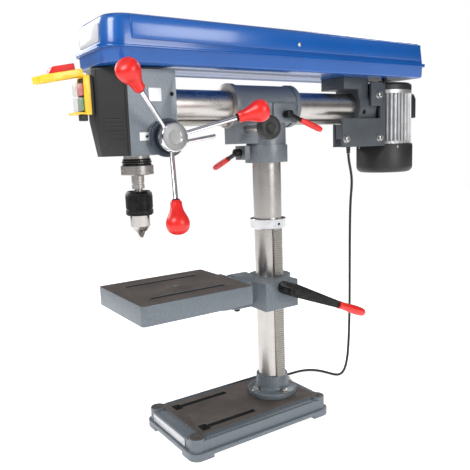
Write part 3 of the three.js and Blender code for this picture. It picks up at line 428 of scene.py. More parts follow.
# Turned about an axis: pairs of radius and height, starting and ending on the axis or closed as a ring
def turned(profile, start, direction=(0, 0, 1), steps=64, ring=False):
    points = [(radius, 0, height) for radius, height in profile]
    edgeRun(points + points[:1] if ring else points)
    bpy.ops.mesh.spin(steps=steps, angle=math.tau, center=(0, 0, 0), axis=(0, 0, 1))
    bpy.ops.mesh.select_all(action="SELECT")
    bpy.ops.mesh.remove_doubles(threshold=0.000005)
    bpy.ops.mesh.select_all(action="SELECT")
    bpy.ops.mesh.normals_make_consistent(inside=False)
    bpy.ops.object.mode_set(mode="OBJECT")
    piece = bpy.context.object
    piece.matrix_world = facing(start, direction)
    bpy.ops.object.transform_apply(location=True, rotation=True, scale=True)
    return piece


# A flat outline in the plane of two axes, pulled along the third
def pulled(outline, low, high, along="x"):
    order = {"x": lambda u, v, w: (w, u, v), "y": lambda u, v, w: (u, w, v), "z": lambda u, v, w: (u, v, w)}[along]
    edgeRun([order(u, v, low) for u, v in outline])
    bpy.ops.mesh.edge_face_add()
    bpy.ops.mesh.select_all(action="SELECT")
    bpy.ops.mesh.extrude_region_move(
        TRANSFORM_OT_translate={"value": Vector(order(0, 0, high - low)) * mm})
    bpy.ops.mesh.select_all(action="SELECT")
    bpy.ops.mesh.normals_make_consistent(inside=False)
    bpy.ops.object.mode_set(mode="OBJECT")
    piece = bpy.context.object
    piece.location = at(0, 0, 0)
    bpy.ops.object.transform_apply(location=True, rotation=True, scale=True)
    return piece


def boxed(low, high, edge=0.0):
    clearChoice()
    middle = [(a + b) / 2 for a, b in zip(low, high)]
    bpy.ops.mesh.primitive_cube_add(size=1, location=at(*middle))
    piece = bpy.context.object
    piece.scale = [(b - a) * mm for a, b in zip(low, high)]
    bpy.ops.object.transform_apply(location=True, rotation=True, scale=True)
    if edge:
        bevelled(piece, edge)
    return piece


def bar(start, end, radius, edge=0.0, steps=48, endRadius=None):
    way = Vector(end) - Vector(start)
    last = radius if endRadius is None else endRadius
    edge = edge or 0.01
    profile = [(0, 0), (radius - edge, 0), (radius, edge), (last, way.length - edge), (last - edge, way.length),
               (0, way.length)]
    return turned(profile, start, way, steps)


# A CAD node's own shape, with its doubles merged and its edges rounded
def dressed(node, edge=0.6, steps=2, angle=38):
    clearChoice()
    source = frame["nodes"][node]
    piece = source.copy()
    piece.data = source.data.copy()
    bpy.context.collection.objects.link(piece)
    piece.parent = None
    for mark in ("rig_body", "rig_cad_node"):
        del piece[mark]
    piece.hide_render = piece.hide_viewport = False
    piece.matrix_world = Matrix.Identity(4)
    piece.select_set(True)
    bpy.context.view_layer.objects.active = piece
    bpy.ops.object.mode_set(mode="EDIT")
    bpy.ops.mesh.select_all(action="SELECT")
    bpy.ops.mesh.remove_doubles(threshold=0.00002)
    bpy.ops.mesh.select_all(action="SELECT")
    bpy.ops.mesh.dissolve_limited(angle_limit=math.radians(0.6))
    bpy.ops.object.mode_set(mode="OBJECT")
    if edge:
        bevelled(piece, edge, steps, angle)
    return piece


# A dressed node with its finish, which stands for the node
def dressedPart(node, edges, name, finish, body, smooth=35):
    piece = settle(dressed(node, *edges), name, finish, body, smooth)
    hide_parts(node)
    return piece


# Gives a second finish to the faces that a test picks by centre (millimetres) and normal
def refaced(piece, finish, test):
    piece.data.materials.append(finishes[finish])
    number = len(piece.data.materials) - 1
    origin = at(0, 0, 0)
    for face in piece.data.polygons:
        if test((face.center - origin) / mm, face.normal):
            face.material_index = number


def hexBolt(start, direction, across=13.0, high=6.0, washer=0.0):
    radius = across / 2 / math.cos(math.pi / 6)
    parts = []
    if washer:
        parts.append(turned([(0, 0), (washer - 0.4, 0), (washer, 0.4), (washer, 1.4), (washer - 0.4, 1.8),
                             (0, 1.8)],
                            start, direction, 40))
    seat = 1.8 if washer else 0.0
    head = turned([(0, seat), (radius, seat), (radius, seat + high), (0, seat + high)], start, direction, 6)
    bevelled(head, 0.7, 2, 30)
    crown = turned([(0, seat + high - 1), (across * 0.42, seat + high - 1), (across * 0.42, seat + high + 0.25),
                    (across * 0.36, seat + high + 0.7), (0, seat + high + 0.7)], start, direction, 32)
    return joined([head, crown, *parts])


def crossScrew(start, direction, radius=3.2, high=2.0):
    head = turned([(0, 0), (radius, 0), (radius, high * 0.35), (radius * 0.85, high * 0.75), (radius * 0.45, high),
                   (0, high)], start, direction, 32)
    way = Vector(direction).normalized()
    side = way.orthogonal().normalized()
    top = Vector(start) + way * (high * 0.55)
    for arm in (side, way.cross(side)):
        tool = bar(top - arm * radius * 0.55, top + arm * radius * 0.55, radius * 0.16, steps=8)
        tip = bar(top - arm * radius * 0.5 + way * high * 0.4, top + arm * radius * 0.5 + way * high * 0.4,
                  radius * 0.16, steps=8)
        carved(head, tool, tip)
    return head


# Mains cord: down from the gland, along the bench, and a neat tied coil of five turns close behind the column
cordPath = {
    "diameter": 6.1, "lie": 3.25, "turns": 5, "coilX": -148, "coilY": 111, "coilRadius": 30, "pitch": 6.2,
    "drop": [
        (0, 241, 562), (0, 241.5, 550), (0, 246, 532), (0, 251, 512), (0, 252.5, 492), (0, 250, 470),
        (0, 247, 445), (0, 245.5, 400), (0, 244.5, 350), (0, 244, 300), (0, 243.5, 250), (0, 243, 200),
        (-0.5, 242, 150), (-1.5, 240.5, 100), (-4, 239, 60), (-10, 237, 30), (-21, 234.5, 11), (-36, 232, 4.4),
        (-54, 229, 3.3), (-72, 224.5, 3.25), (-90, 217.5, 3.25), (-104, 206.5, 3.25), (-113, 191, 3.25),
        (-117, 173, 3.25), (-118, 154, 3.25), (-118, 134.5, 3.25),
    ],
    "away": (-0.8, 0.6), "plugAhead": 58, "plugAside": 15, "plugHeight": 16.2,
}


def cordPoints():
    c = cordPath
    points = list(c["drop"])
    leaving = 2 * math.pi * c["turns"] + math.radians(126.9)
    steps = c["turns"] * 24 + 8
    for step in range(1, steps + 1):
        turn = leaving * step / steps
        points.append((c["coilX"] + math.cos(-turn) * c["coilRadius"],
                       c["coilY"] + math.sin(-turn) * c["coilRadius"],
                       c["lie"] + c["pitch"] * turn / (2 * math.pi)))
    top = points[-1][2]
    u, v = Vector((*c["away"], 0)), Vector((-c["away"][1], c["away"][0], 0))
    middle = Vector((c["coilX"], c["coilY"], 0))
    for share in (0.2, 0.4, 0.6, 0.8, 1.0):
        ease = share * share * (3 - 2 * share)
        spot = middle + u * (c["plugAhead"] + 6) * share + v * (30 + (c["plugAside"] - 30) * ease)
        points.append((spot.x, spot.y, top + (c["plugHeight"] - top) * ease))
    return [at(*point) for point in points]


def mainsCord():
    points = cordPoints()
    data = bpy.data.curves.new("mainsLead", "CURVE")
    data.dimensions = "3D"
    data.resolution_u = 3
    data.bevel_depth = cordPath["diameter"] * mm / 2
    data.bevel_resolution = 4
    data.use_fill_caps = True
    spline = data.splines.new("NURBS")
    spline.points.add(len(points) - 1)
    for point, place in zip(spline.points, points):
        point.co = (*place, 1)
    spline.order_u = 4
    spline.use_endpoint_u = True
    cord = bpy.data.objects.new("mainsLead", data)
    bpy.context.collection.objects.link(cord)
    data.materials.append(finishes["rubber"])
    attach(cord, "arm_carrier")
    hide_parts("mains_cord", "cord_coil")
    return cord, points


def runLength(points):
    return sum((b - a).length for a, b in zip(points, points[1:]))


def mainsPlug():
    c = cordPath
    u, v = Vector((*c["away"], 0)), Vector((-c["away"][1], c["away"][0], 0))
    start = Vector((c["coilX"], c["coilY"], c["plugHeight"])) + u * c["plugAhead"] + v * c["plugAside"]
    body = turned([(0, 0), (4.6, 0), (5.0, 1), (5.4, 12), (8.5, 15), (12.5, 20), (15.6, 24), (15.9, 26), (15.9, 35),
                   (15.2, 36), (0, 36)], start, u, 48)
    bevelled(body, 0.5)
    pins = []
    for side in (-9.5, 9.5):
        root = start + u * 35 + v * side
        pins.append(turned([(0, 0), (2.35, 0), (2.35, 17.5), (1.6, 19), (0, 19.4)], root, u, 24))
    settle(body, "plugBody", "rubber", "arm_carrier")
    pair = settle(joined(pins), "plugPins", "zinc", "arm_carrier")
    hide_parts("mains_plug")
    return [body, pair]


def coilTie():
    c = cordPath
    top = c["pitch"] * c["turns"] + 7.2
    left, right, half = c["coilX"] - c["coilRadius"] - 3.9, c["coilX"] - c["coilRadius"] + 3.9, 3
    band = boxed((left, c["coilY"] - half, 0.15), (right, c["coilY"] + half, top))
    carved(band, boxed((left + 0.55, c["coilY"] - 9, 0.4), (right - 0.55, c["coilY"] + 9, top - 0.6)))
    settle(band, "coilTie", "blackPlastic", "arm_carrier", 30)
    return band


def gland():
    piece = turned([(0, 562.3), (3.6, 562.3), (4.4, 563.5), (4.6, 566), (3.9, 567), (4.8, 569), (5.0, 571.5),
                    (4.2, 572.5),
                    (5.2, 574.5), (5.4, 577), (4.6, 578), (5.6, 580), (5.9, 583), (6.0, 589), (8.0, 589.4),
                    (8.0, 595.2), (7.4, 595.7), (0, 595.7)], (0, 241, 0), steps=40)
    settle(piece, "cordGland", "rubber", "arm")
    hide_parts("cable_gland")


cord, cordLine = mainsCord()
plugPieces = mainsPlug()
gland()
runLength(cordLine)
coilTie()
print("cord laid")


# Base with its flange, bolts and blank label plate
base = {"deck": 40.0, "boss": 41.0, "flangeTop": 52.2, "boltCircle": 44,
        "labelScrews": (-66, 56), "railX": 92.5, "slotX": 56}


def baseParts():
    b = base
    piece = dressedPart("base_casting", (1.1, 3), "baseCasting", "castEnamel", "base")
    refaced(piece, "machinedTop", lambda spot, normal: normal.z > 0.99 and spot.z > b["deck"] - 0.3)
    # Painted shade: the walls of the base's slots take a near-black finish, for the shade inside the slots
    refaced(piece, "paintedSlotShade", lambda spot, normal: abs(normal.z) < 0.3 and 12 < spot.z < b["boss"] - 1.4
            and abs(abs(spot.x) - b["slotX"]) < 13 and -223 < spot.y < -89)
    rails = [boxed((x - 1.6, -222, 35), (x + 1.6, 36, 38.8), 1.0) for x in (-b["railX"], b["railX"])]
    settle(joined(rails), "baseRails", "castEnamel", "base")
    dressedPart("base_label_plate", (0.25,), "basePlate", "silverLabel", "base")
    face = (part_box("base_label_plate")[0].y - axisY) / mm
    screws = [crossScrew((x, face, 25), (0, -1, 0), 2.0, 0.9) for x in b["labelScrews"]]
    settle(joined(screws), "basePlateScrews", "zinc", "base")
    flange = turned([(34.2, 40.3), (54, 40.3), (54, 48.6), (53.2, 50.6), (51.2, 51.8), (41, 53.2), (37.6, 54.6),
                     (35.8, 57.2),
                     (35.0, 60), (34.6, 83), (33.4, 84.4), (30.4, 84.4), (30.4, 45), (34.2, 41)], (0, 0, 0),
                     steps=72,
                    ring=True)
    settle(flange, "columnFlange", "castEnamel", "base", 50)
    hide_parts("column_flange")
    bolts = [hexBolt((math.cos(turn) * b["boltCircle"], math.sin(turn) * b["boltCircle"], b["flangeTop"] - 0.4),
                     (0, 0, 1), 13, 5.5, 9.5) for turn in (0, math.pi / 2, math.pi, math.pi * 1.5)]
    settle(joined(bolts), "flangeBolts", "zinc", "base", 30)


def columnParts():
    low, high = 46, 619
    shaft = turned([(0, low), (29.4, low), (30, low + 0.6), (30, high - 1), (29, high), (0, high)], (0, 0, 0),
                   steps=96)
    settle(shaft, "column", "groundSteel", "base")
    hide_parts("column_tube")
    ring = turned([(30.3, 412.2), (37.4, 412.2), (38.5, 413.2), (38.5, 432), (37.6, 433), (31.2, 433),
                   (30.3, 432.2)],
                  (0, 0, 0), steps=80, ring=True)
    carved(ring, bar((34, 0, 422.5), (41, 0, 422.5), 3.0, steps=32))
    screw = turned([(0, 0), (2.7, 0), (2.7, 3.4), (2.2, 3.9), (1.3, 3.9), (1.3, 2.2), (0, 2.2)], (33.6, 0, 422.5),
                   (1, 0, 0), 24)
    settle(ring, "rackRing", "chrome", "base")
    settle(screw, "rackRingScrew", "blackOxide", "base")
    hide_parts("rack_ring")
    teeth, foot = [(30.3, 84.8), (35.5, 84.8)], 86.0
    while foot < 408:
        teeth += [(35.5, foot), (33.6, foot + 1.0), (33.6, foot + 2.1), (35.5, foot + 3.1)]
        foot += 4.71
    rack = pulled(teeth + [(35.5, 411.7), (30.3, 411.7)], -11, 11, "y")
    settle(rack, "columnRack", "rackSteel", "rack_carrier")
    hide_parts("column_rack")


baseParts()
columnParts()
print("base and column done")


# Table bracket, crank and table
lift = {"crankY": -24, "crankZ": 297.5, "plateLeft": 109.5, "plateRight": 120, "angle": -23.2,
        "armLength": 122, "armEnd": 8, "grip": 84, "gripRadius": 10}
tableSizes = {"top": 320, "slotX": 57}


def bracketParts():
    piece = dressedPart("table_bracket", (1.4, 3), "tableBracket", "castEnamel", "bracket")
    refaced(piece, "machinedFace", lambda spot, normal: abs(normal.z) > 0.99 and spot.x ** 2 + spot.y ** 2 < 46 ** 2
            and spot.z < 253)
    bolts = [hexBolt((-55, 14, 280), (0, 1, 0), 13, 5.5, 9), hexBolt((-55, -14, 280), (0, -1, 0), 13, 5.5, 9),
             hexBolt((0, -88, 246.5), (0, 0, -1), 12, 5)]
    settle(joined(bolts), "bracketBolts", "blackOxide", "bracket", 30)
    cap = turned([(0, 0), (12, 0), (12.5, 0.6), (12.5, 1.8), (11.5, 2.6), (4, 2.6), (3, 1.6), (0, 1.6)],
                 (47.4, 15, 274),
                 (0, 1, 0), 48)
    settle(cap, "gearCap", "blackOxide", "bracket")
    dressedPart("lift_gear", (0.3, 1), "liftGear", "groundSteel", "lift_gear")


def crankParts():
    c = lift
    shaft = turned([(0, 0), (8.1, 0), (8.5, 0.5), (8.5, 70.8), (0, 70.8)], (36.6, c["crankY"], c["crankZ"]),
                   (1, 0, 0), 40)
    settle(shaft, "crankShaft", "groundSteel", "crank")
    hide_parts("crank_shaft")
    dressedPart("table_crank", (0.9, 3), "crankArm", "blackOxide", "crank", 45)
    bolt = hexBolt((c["plateRight"] - 0.2, c["crankY"], c["crankZ"]), (1, 0, 0), 13, 0.9)
    settle(bolt, "crankBolt", "blackOxide", "crank", 30)
    turn = math.radians(c["angle"])
    way = Vector((0, math.cos(turn), math.sin(turn)))
    middle = Vector(((c["plateLeft"] + c["plateRight"]) / 2, c["crankY"], c["crankZ"]))
    start = middle + way * (c["armLength"] + c["armEnd"] + 0.3)
    r, run = c["gripRadius"], c["grip"] - 0.3
    grip = turned([(0, 0), (r * 0.8, 0), (r * 0.86, 1.2), (r * 0.84, 5), (r * 0.79, 12), (r * 0.84, 22),
                   (r * 0.95, 38),
                   (r, 50), (r * 0.99, 62), (r * 0.93, 72), (r * 0.82, 79), (r * 0.6, run - 1.4),
                   (r * 0.3, run - 0.2),
                   (0, run)], start, way, 56)
    settle(grip, "crankGrip", "redPlastic", "crank")
    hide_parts("crank_grip")


def tableParts():
    piece = dressedPart("work_table", (0.9, 3), "workTable", "castEnamel", "table")
    refaced(piece, "machinedTop", lambda spot, normal: normal.z > 0.99 and spot.z > tableSizes["top"] - 0.5)
    # Painted shade: the walls of the table's slots take a near-black finish, for the shade inside the slots
    refaced(piece, "paintedSlotShade", lambda spot, normal: abs(normal.z) < 0.3 and spot.z < tableSizes["top"] - 0.4
            and abs(abs(spot.x) - tableSizes["slotX"]) < 5.5 and -314 < spot.y < -151)
    nut = hexBolt((0, -126.5, 284), (0, -1, 0), 19, 8, 13)
    settle(nut, "tiltNut", "zinc", "table", 30)


bracketParts()
crankParts()
tableParts()
print("table done")


# Saddle on top of the column, with its clamps and the arm that slides through it
saddleSizes = {"z": 668, "front": -98, "rear": 63, "knobLeft": 84, "knobRight": 106, "knobRadius": 23,
               "traverseY": -63, "traverseZ": 620.6, "gripShare": 0.36}


def clampLever(name, node, body, hubStart, hubEnd, reach):
    lever = dressed(node + "_lever", 0.5, 2)
    settle(lever, name + "Lever", "blackOxide", body, 45)
    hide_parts(node + "_lever")
    middle = (Vector(hubStart) + Vector(hubEnd)) / 2
    way = Vector(reach)
    share = saddleSizes["gripShare"]
    start = middle + way * (share + 0.3 / way.length)
    run = way.length * (1 - share) - 0.3
    grip = turned([(0, 0), (5.0, 0), (5.5, 0.8), (5.7, 8), (6.2, 18), (6.4, run * 0.55), (6.35, run * 0.8),
                   (5.9, run - 5), (4.6, run - 1.6), (2.4, run - 0.2), (0, run)], start, way, 48)
    settle(grip, name + "Grip", "redPlastic", body)
    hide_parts(node + "_grip")
    hub = (Vector(hubEnd) - Vector(hubStart)).normalized()
    screw = crossScrew(Vector(hubEnd) - hub * 0.2, hub, 4.6, 1.6)
    settle(screw, name + "Screw", "blackOxide", body)


def saddleParts():
    s = saddleSizes
    piece = dressedPart("arm_saddle", (1.2, 3), "armSaddle", "saddleEnamel", "saddle")
    refaced(piece, "machinedFace", lambda spot, normal: normal.y < -0.99 and spot.y < s["front"] + 0.5)
    refaced(piece, "machinedFace", lambda spot, normal: normal.y > 0.99 and spot.y > s["rear"] - 0.5)
    clampLever("armLock", "arm_lock", "arm_lock", (46.3, 18, 649), (63, 18, 649), (13, 79, -34))
    clampLever("swivelLock", "swivel_lock", "swivel_lock", (-14, -57.3, 574), (-14, -72, 574), (-76, -11, -33))
    dressedPart("traverse_shaft", (0.25, 1), "traverseShaft", "groundSteel", "traverse")
    r, run = s["knobRadius"], s["knobRight"] - s["knobLeft"]
    knob = turned([(0, 0), (10, 0), (r - 2, 0.6), (r - 0.6, 1.4), (r, 3), (r, run - 4.5), (r - 0.5, run - 3),
                   (r - 2.2, run - 1.2), (r - 4, run - 0.6), (12, run - 1.4), (9.5, run - 2.2), (8.6, run - 0.4),
                   (0, run)],
                  (s["knobLeft"], s["traverseY"], s["traverseZ"]), (1, 0, 0), 72)
    flutes = []
    for index in range(24):
        turn = index * math.tau / 24
        y, z = s["traverseY"] + math.cos(turn) * (r + 0.9), s["traverseZ"] + math.sin(turn) * (r + 0.9)
        flutes.append(bar((s["knobLeft"] + 1.6, y, z), (s["knobRight"] + 1, y, z), 1.5, steps=10))
    carved(knob, joined(flutes))
    settle(knob, "traverseKnob", "blackPlastic", "traverse", 30)
    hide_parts("traverse_knob")


def armParts():
    s = saddleSizes
    tube = turned([(25, -262), (29.2, -262), (30, -261.2), (30, 261.2), (29.2, 262), (25, 262)], (0, 0, s["z"]),
                  (0, 1, 0),
                  96, True)
    settle(tube, "armTube", "groundArm", "arm")
    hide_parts("arm_tube")
    dressedPart("arm_rack", (0.3, 1), "armRack", "rackSteel", "arm_carrier")


saddleParts()
armParts()
print("saddle and arm done")


# Drill head: casting, front cover, quill, spindle and chuck
headSizes = {"halfWidth": 50, "rear": -236, "louvres": 6, "louvreLow": 606, "louvreStep": 7, "frontHalf": 14,
             "frontY": -378, "coverRear": -330.3}
quillSizes = {"y": -298, "low": 541.9, "collarRadius": 30, "collarHigh": 559, "sleeve": 25.5,
              "sleeveLow": 467, "sleeveHigh": 512, "knurls": 60, "teeth": 30}
jawSizes = {"radius": 3.8, "offset": 4.8, "low": 424, "length": 36, "lean": 14}
feedSizes = {"y": -264, "z": 606.5, "ringLeft": 54, "ringRight": 67, "ringRadius": 34,
             "hubRight": 92, "rodRadius": 4, "rodStartX": 87.2, "rodStart": 27, "rodSlope": 0.5215,
             "knobReach": 111,
             "firstAngle": 16.5, "knobRadius": 20, "knobLength": 57, "ticks": 60}


def headParts():
    h = headSizes
    dressedPart("head_casting", (2.2, 4, 50), "headCasting", "castEnamel", "arm")
    screw = turned([(0, 0), (3.6, 0), (3.6, 7), (3.0, 7.6), (1.7, 7.6), (1.7, 4.5), (0, 4.5)],
                   (h["halfWidth"] - 11, h["rear"] - 9, 684), (1, 0, 0), 24)
    settle(screw, "headSetScrew", "blackOxide", "arm")
    cover = dressed("head_front_cover", 1.2, 3, 25)
    way = Vector((h["frontHalf"] - h["halfWidth"], h["frontY"] - h["coverRear"], 0)).normalized()
    tools = []
    for side in (-1, 1):
        run = Vector((way.x * side, way.y, 0))
        rear = Vector((side * h["halfWidth"], h["coverRear"], 0))
        for index in range(h["louvres"]):
            z = Vector((0, 0, h["louvreLow"] + index * h["louvreStep"]))
            tools.append(bar(rear + run * 9 + z, rear + run * 45 + z, 1.3, steps=8))
        for along in (4.5, 53):
            tools.append(bar(rear + run * along + Vector((0, 0, 582)), rear + run * along + Vector((0, 0, 724)),
                             0.8, steps=8))
    carved(cover, joined(tools))
    settle(cover, "headFrontCover", "blackPlastic", "arm", 30)
    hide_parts("head_front_cover")
    sticker = boxed((h["halfWidth"] + 0.02, -290, 671), (h["halfWidth"] + 0.2, -266, 694), 0.08)
    settle(sticker, "sideSticker", "white", "arm")
    pointer = boxed((h["halfWidth"] + 0.02, -312, 603), (h["halfWidth"] + 0.25, -289, 617), 0.08)
    arrow = pulled([(-301, 608), (-301, 612), (-296, 612), (-296, 614), (-291, 610), (-296, 606), (-296, 608)],
                   h["halfWidth"] + 0.25, h["halfWidth"] + 0.32)
    settle(pointer, "depthPointer", "white", "arm")
    settle(arrow, "depthArrow", "blackPlastic", "arm", 0)
    dressedPart("head_lock_lever", (0.4, 2), "headLockLever", "chrome", "head_lock", 45)


def quillParts():
    q = quillSizes
    centre = (0, q["y"], 0)
    sleeve = turned([(12.4, q["low"]), (23.2, q["low"]), (24, q["low"] + 0.8), (24, 689.4), (23.4, 690),
                     (12.4, 690)],
                    centre, steps=72, ring=True)
    settle(sleeve, "quillSleeve", "groundSteel", "quill")
    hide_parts("quill_sleeve")
    low, high, r = q["low"] - 0.3, q["collarHigh"], q["collarRadius"]
    collar = turned([(24.3, low), (r - 1.2, low), (r, low + 1.2), (r, low + 7.2), (r - 0.7, low + 7.6),
                     (r - 0.7, low + 8.8),
                     (r, low + 9.2), (r, high - 1), (r - 1, high), (24.3, high)], centre, steps=72, ring=True)
    settle(collar, "quillCollar", "groundSteel", "quill")
    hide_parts("quill_collar")
    seals = [turned([(24.1, z), (radius, z), (radius + 0.4, z + 0.5), (radius + 0.4, z + thick - 0.5),
                     (radius, z + thick),
                     (24.1, z + thick)], centre, steps=64, ring=True)
             for z, thick, radius in ((559.3, 3.4, 26.2), (563.4, 3.6, 26.8), (567.6, 3.4, 25.6))]
    settle(joined(seals), "quillRings", "blackOxide", "quill")


def spindleParts():
    q = quillSizes
    centre = (0, q["y"], 0)
    shaft = turned([(0, 488), (7.2, 488), (7.5, 488.4), (7.5, 516), (11.0, 516), (11.6, 516.7), (11.6, 524),
                    (10.9, 524.6), (10.9, 527), (11.6, 527.6), (11.6, 690), (8, 692), (8, 790.5), (7, 792),
                    (0, 792)],
                   centre, steps=56)
    settle(shaft, "spindle", "groundSteel", "spindle")
    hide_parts("spindle_shaft")
    dressedPart("chuck_body", (0.35, 2, 25), "chuckBody", "groundSteel", "spindle", 40)
    low, high, r = q["sleeveLow"], q["sleeveHigh"], q["sleeve"]
    sleeve = turned([(20.4, low), (r - 2.6, low), (r - 0.3, low + 2.2), (r, low + 3), (r, low + 9.4),
                     (r - 1.1, low + 10.4),
                     (r - 1.1, low + 12.4), (r - 0.3, low + 13.4), (r - 0.3, high - 8.4), (r - 1.1, high - 7.6),
                     (r - 1.1, high - 6), (r - 0.6, high - 5), (r - 4.6, high - 0.6), (r - 5, high), (20.4, high)],
                    centre, steps=120, ring=True)
    grooves = []
    for index in range(q["knurls"]):
        turn = index * math.tau / q["knurls"]
        x, y = math.cos(turn) * (r + 0.25), q["y"] + math.sin(turn) * (r + 0.25)
        grooves.append(bar((x, y, low + 13.6), (x, y, high - 8.8), 0.75, steps=6))
    carved(sleeve, joined(grooves))
    teeth = []
    for index in range(q["teeth"]):
        turn = index * math.tau / q["teeth"]
        way = Vector((math.cos(turn), math.sin(turn), -0.9))
        foot = Vector((0, q["y"], low - 1)) + Vector((math.cos(turn), math.sin(turn), 0)) * (r - 3.4)
        teeth.append(bar(foot, foot + Vector((way.x, way.y, 1.2)) * 8, 1.35, steps=6))
    carved(sleeve, joined(teeth))
    settle(sleeve, "chuckSleeve", "blackOxide", "chuck_sleeve", 30)
    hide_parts("chuck_sleeve")
    for index in range(3):
        j = jawSizes
        turn, lean = index * math.tau / 3 + math.pi / 6, math.radians(j["lean"])
        way = Vector((math.cos(turn) * math.sin(lean), math.sin(turn) * math.sin(lean), math.cos(lean)))
        tip = Vector((math.cos(turn) * j["offset"], q["y"] + math.sin(turn) * j["offset"], j["low"]))
        jaw = turned([(0, 0), (j["radius"], 0), (j["radius"], 4), (j["radius"], j["length"] - 0.6),
                      (3.4, j["length"]),
                      (0, j["length"])], tip, way, 32)
        booled(jaw, "INTERSECT", turned([(0, 423), (3.2, 423), (4.2, 425), (14, 446), (14, 480), (0, 480)],
                                        centre, steps=48))
        settle(jaw, f"chuckJaw{index + 1}", "groundSteel", f"jaw_{index + 1}")
        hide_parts(f"chuck_jaw_{index + 1}")


def feedLine(index, reach):
    f = feedSizes
    turn = math.radians(f["firstAngle"] + index * 120)
    return Vector((f["rodStartX"] + (reach - f["rodStart"]) * f["rodSlope"], f["y"] + math.cos(turn) * reach,
                   f["z"] + math.sin(turn) * reach))


def feedParts():
    f = feedSizes
    r, left, right = f["ringRadius"], f["ringLeft"], f["ringRight"]
    ring = turned([(9, 0.1), (r - 0.8, 0.1), (r, 0.8), (r, 12.2), (r - 0.8, 13), (27.5, 13), (27, 12.6), (9, 12.6)],
                  (left, f["y"], f["z"]), (1, 0, 0), 96, True)
    settle(ring, "depthRing", "ringPaint", "feed", 45)
    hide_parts("depth_ring")
    marks = []
    for index in range(f["ticks"]):
        turn = index * math.tau / f["ticks"]
        reach = 6.5 if index % 5 == 0 else 3.6
        mark = boxed((left + 0.8, -0.22, r - 0.1), (left + 0.8 + reach, 0.22, r + 0.12))
        centre = Matrix.Translation(at(0, f["y"], f["z"]))
        mark.matrix_world = centre @ Matrix.Rotation(turn, 4, "X") @ Matrix.Translation(-at(0, 0, 0))
        bpy.ops.object.transform_apply(location=True, rotation=True, scale=True)
        marks.append(mark)
    settle(joined(marks), "depthMarks", "white", "feed", 0)
    start = right + 0.6
    run = f["hubRight"] - start
    hub = turned([(0, 0), (24, 0), (25.5, 1.2), (25.5, run - 2.4), (24.9, run - 1), (23.6, run - 0.3), (13, run),
                  (12.4, run - 0.9), (11.4, run - 1.1), (4, run - 1.1), (0, run - 1.1)], (start, f["y"], f["z"]),
                  (1, 0, 0), 96)
    stub = bar((-28, f["y"], f["z"]), (right + 2, f["y"], f["z"]), 8.5, 0.5)
    settle(joined([hub, stub]), "feedHub", "chrome", "feed", 40)
    refaced(bpy.data.objects["feedHub"], "brushedFace",
            lambda spot, normal: normal.x > 0.97 and spot.x > right + 20)
    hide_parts("feed_hub")
    for index in range(3):
        outer = feedLine(index, f["knobReach"] + 0.3)
        rod = bar(feedLine(index, 13), outer, f["rodRadius"], 0.4, 40)
        settle(rod, f"feedRod{index + 1}", "chrome", "feed")
        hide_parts(f"feed_rod_{index + 1}")
        way = feedLine(index, f["knobReach"] + 20) - outer
        k, long = f["knobRadius"], f["knobLength"]
        knob = turned([(0, 0), (k * 0.45, 0), (k * 0.49, long * 0.015), (k * 0.5, long * 0.12),
                       (k * 0.53, long * 0.2),
                       (k * 0.6, long * 0.3), (k * 0.72, long * 0.4), (k * 0.85, long * 0.5),
                       (k * 0.95, long * 0.59),
                       (k, long * 0.68), (k * 0.985, long * 0.77), (k * 0.91, long * 0.86),
                       (k * 0.77, long * 0.925),
                       (k * 0.55, long * 0.975), (k * 0.29, long * 0.996), (0, long)], outer, way, 72)
        settle(knob, f"feedKnob{index + 1}", "redPlastic", "feed", 60)
        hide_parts(f"feed_knob_{index + 1}")
        ferrule = turned([(4.05, 0), (6.6, 0), (7.2, 0.6), (7.2, 2.6), (6.6, 3.2), (4.05, 3.2)],
                         feedLine(index, f["knobReach"] - 3), way, 40, True)
        settle(ferrule, f"feedFerrule{index + 1}", "blackOxide", "feed")


headParts()
quillParts()
spindleParts()
feedParts()
print("head done")


# Switch: a yellow frame with a lifted flap, two buttons under clear lids and a stop paddle
switchSizes = {"left": -18, "right": 18, "low": 650, "high": 716, "face": -392.3, "hinge": -395.3, "droop": 11,
               "lidDepth": 13, "sheetTop": 10, "paddleTop": 21}


# The flap's own frame: forward and up from its hinge, drooping
def flapPoint(x, forward, up):
    s = switchSizes
    turn = math.radians(s["droop"])
    return (x, s["hinge"] - forward * math.cos(turn) - up * math.sin(turn),
            s["high"] - forward * math.sin(turn) + up * math.cos(turn))


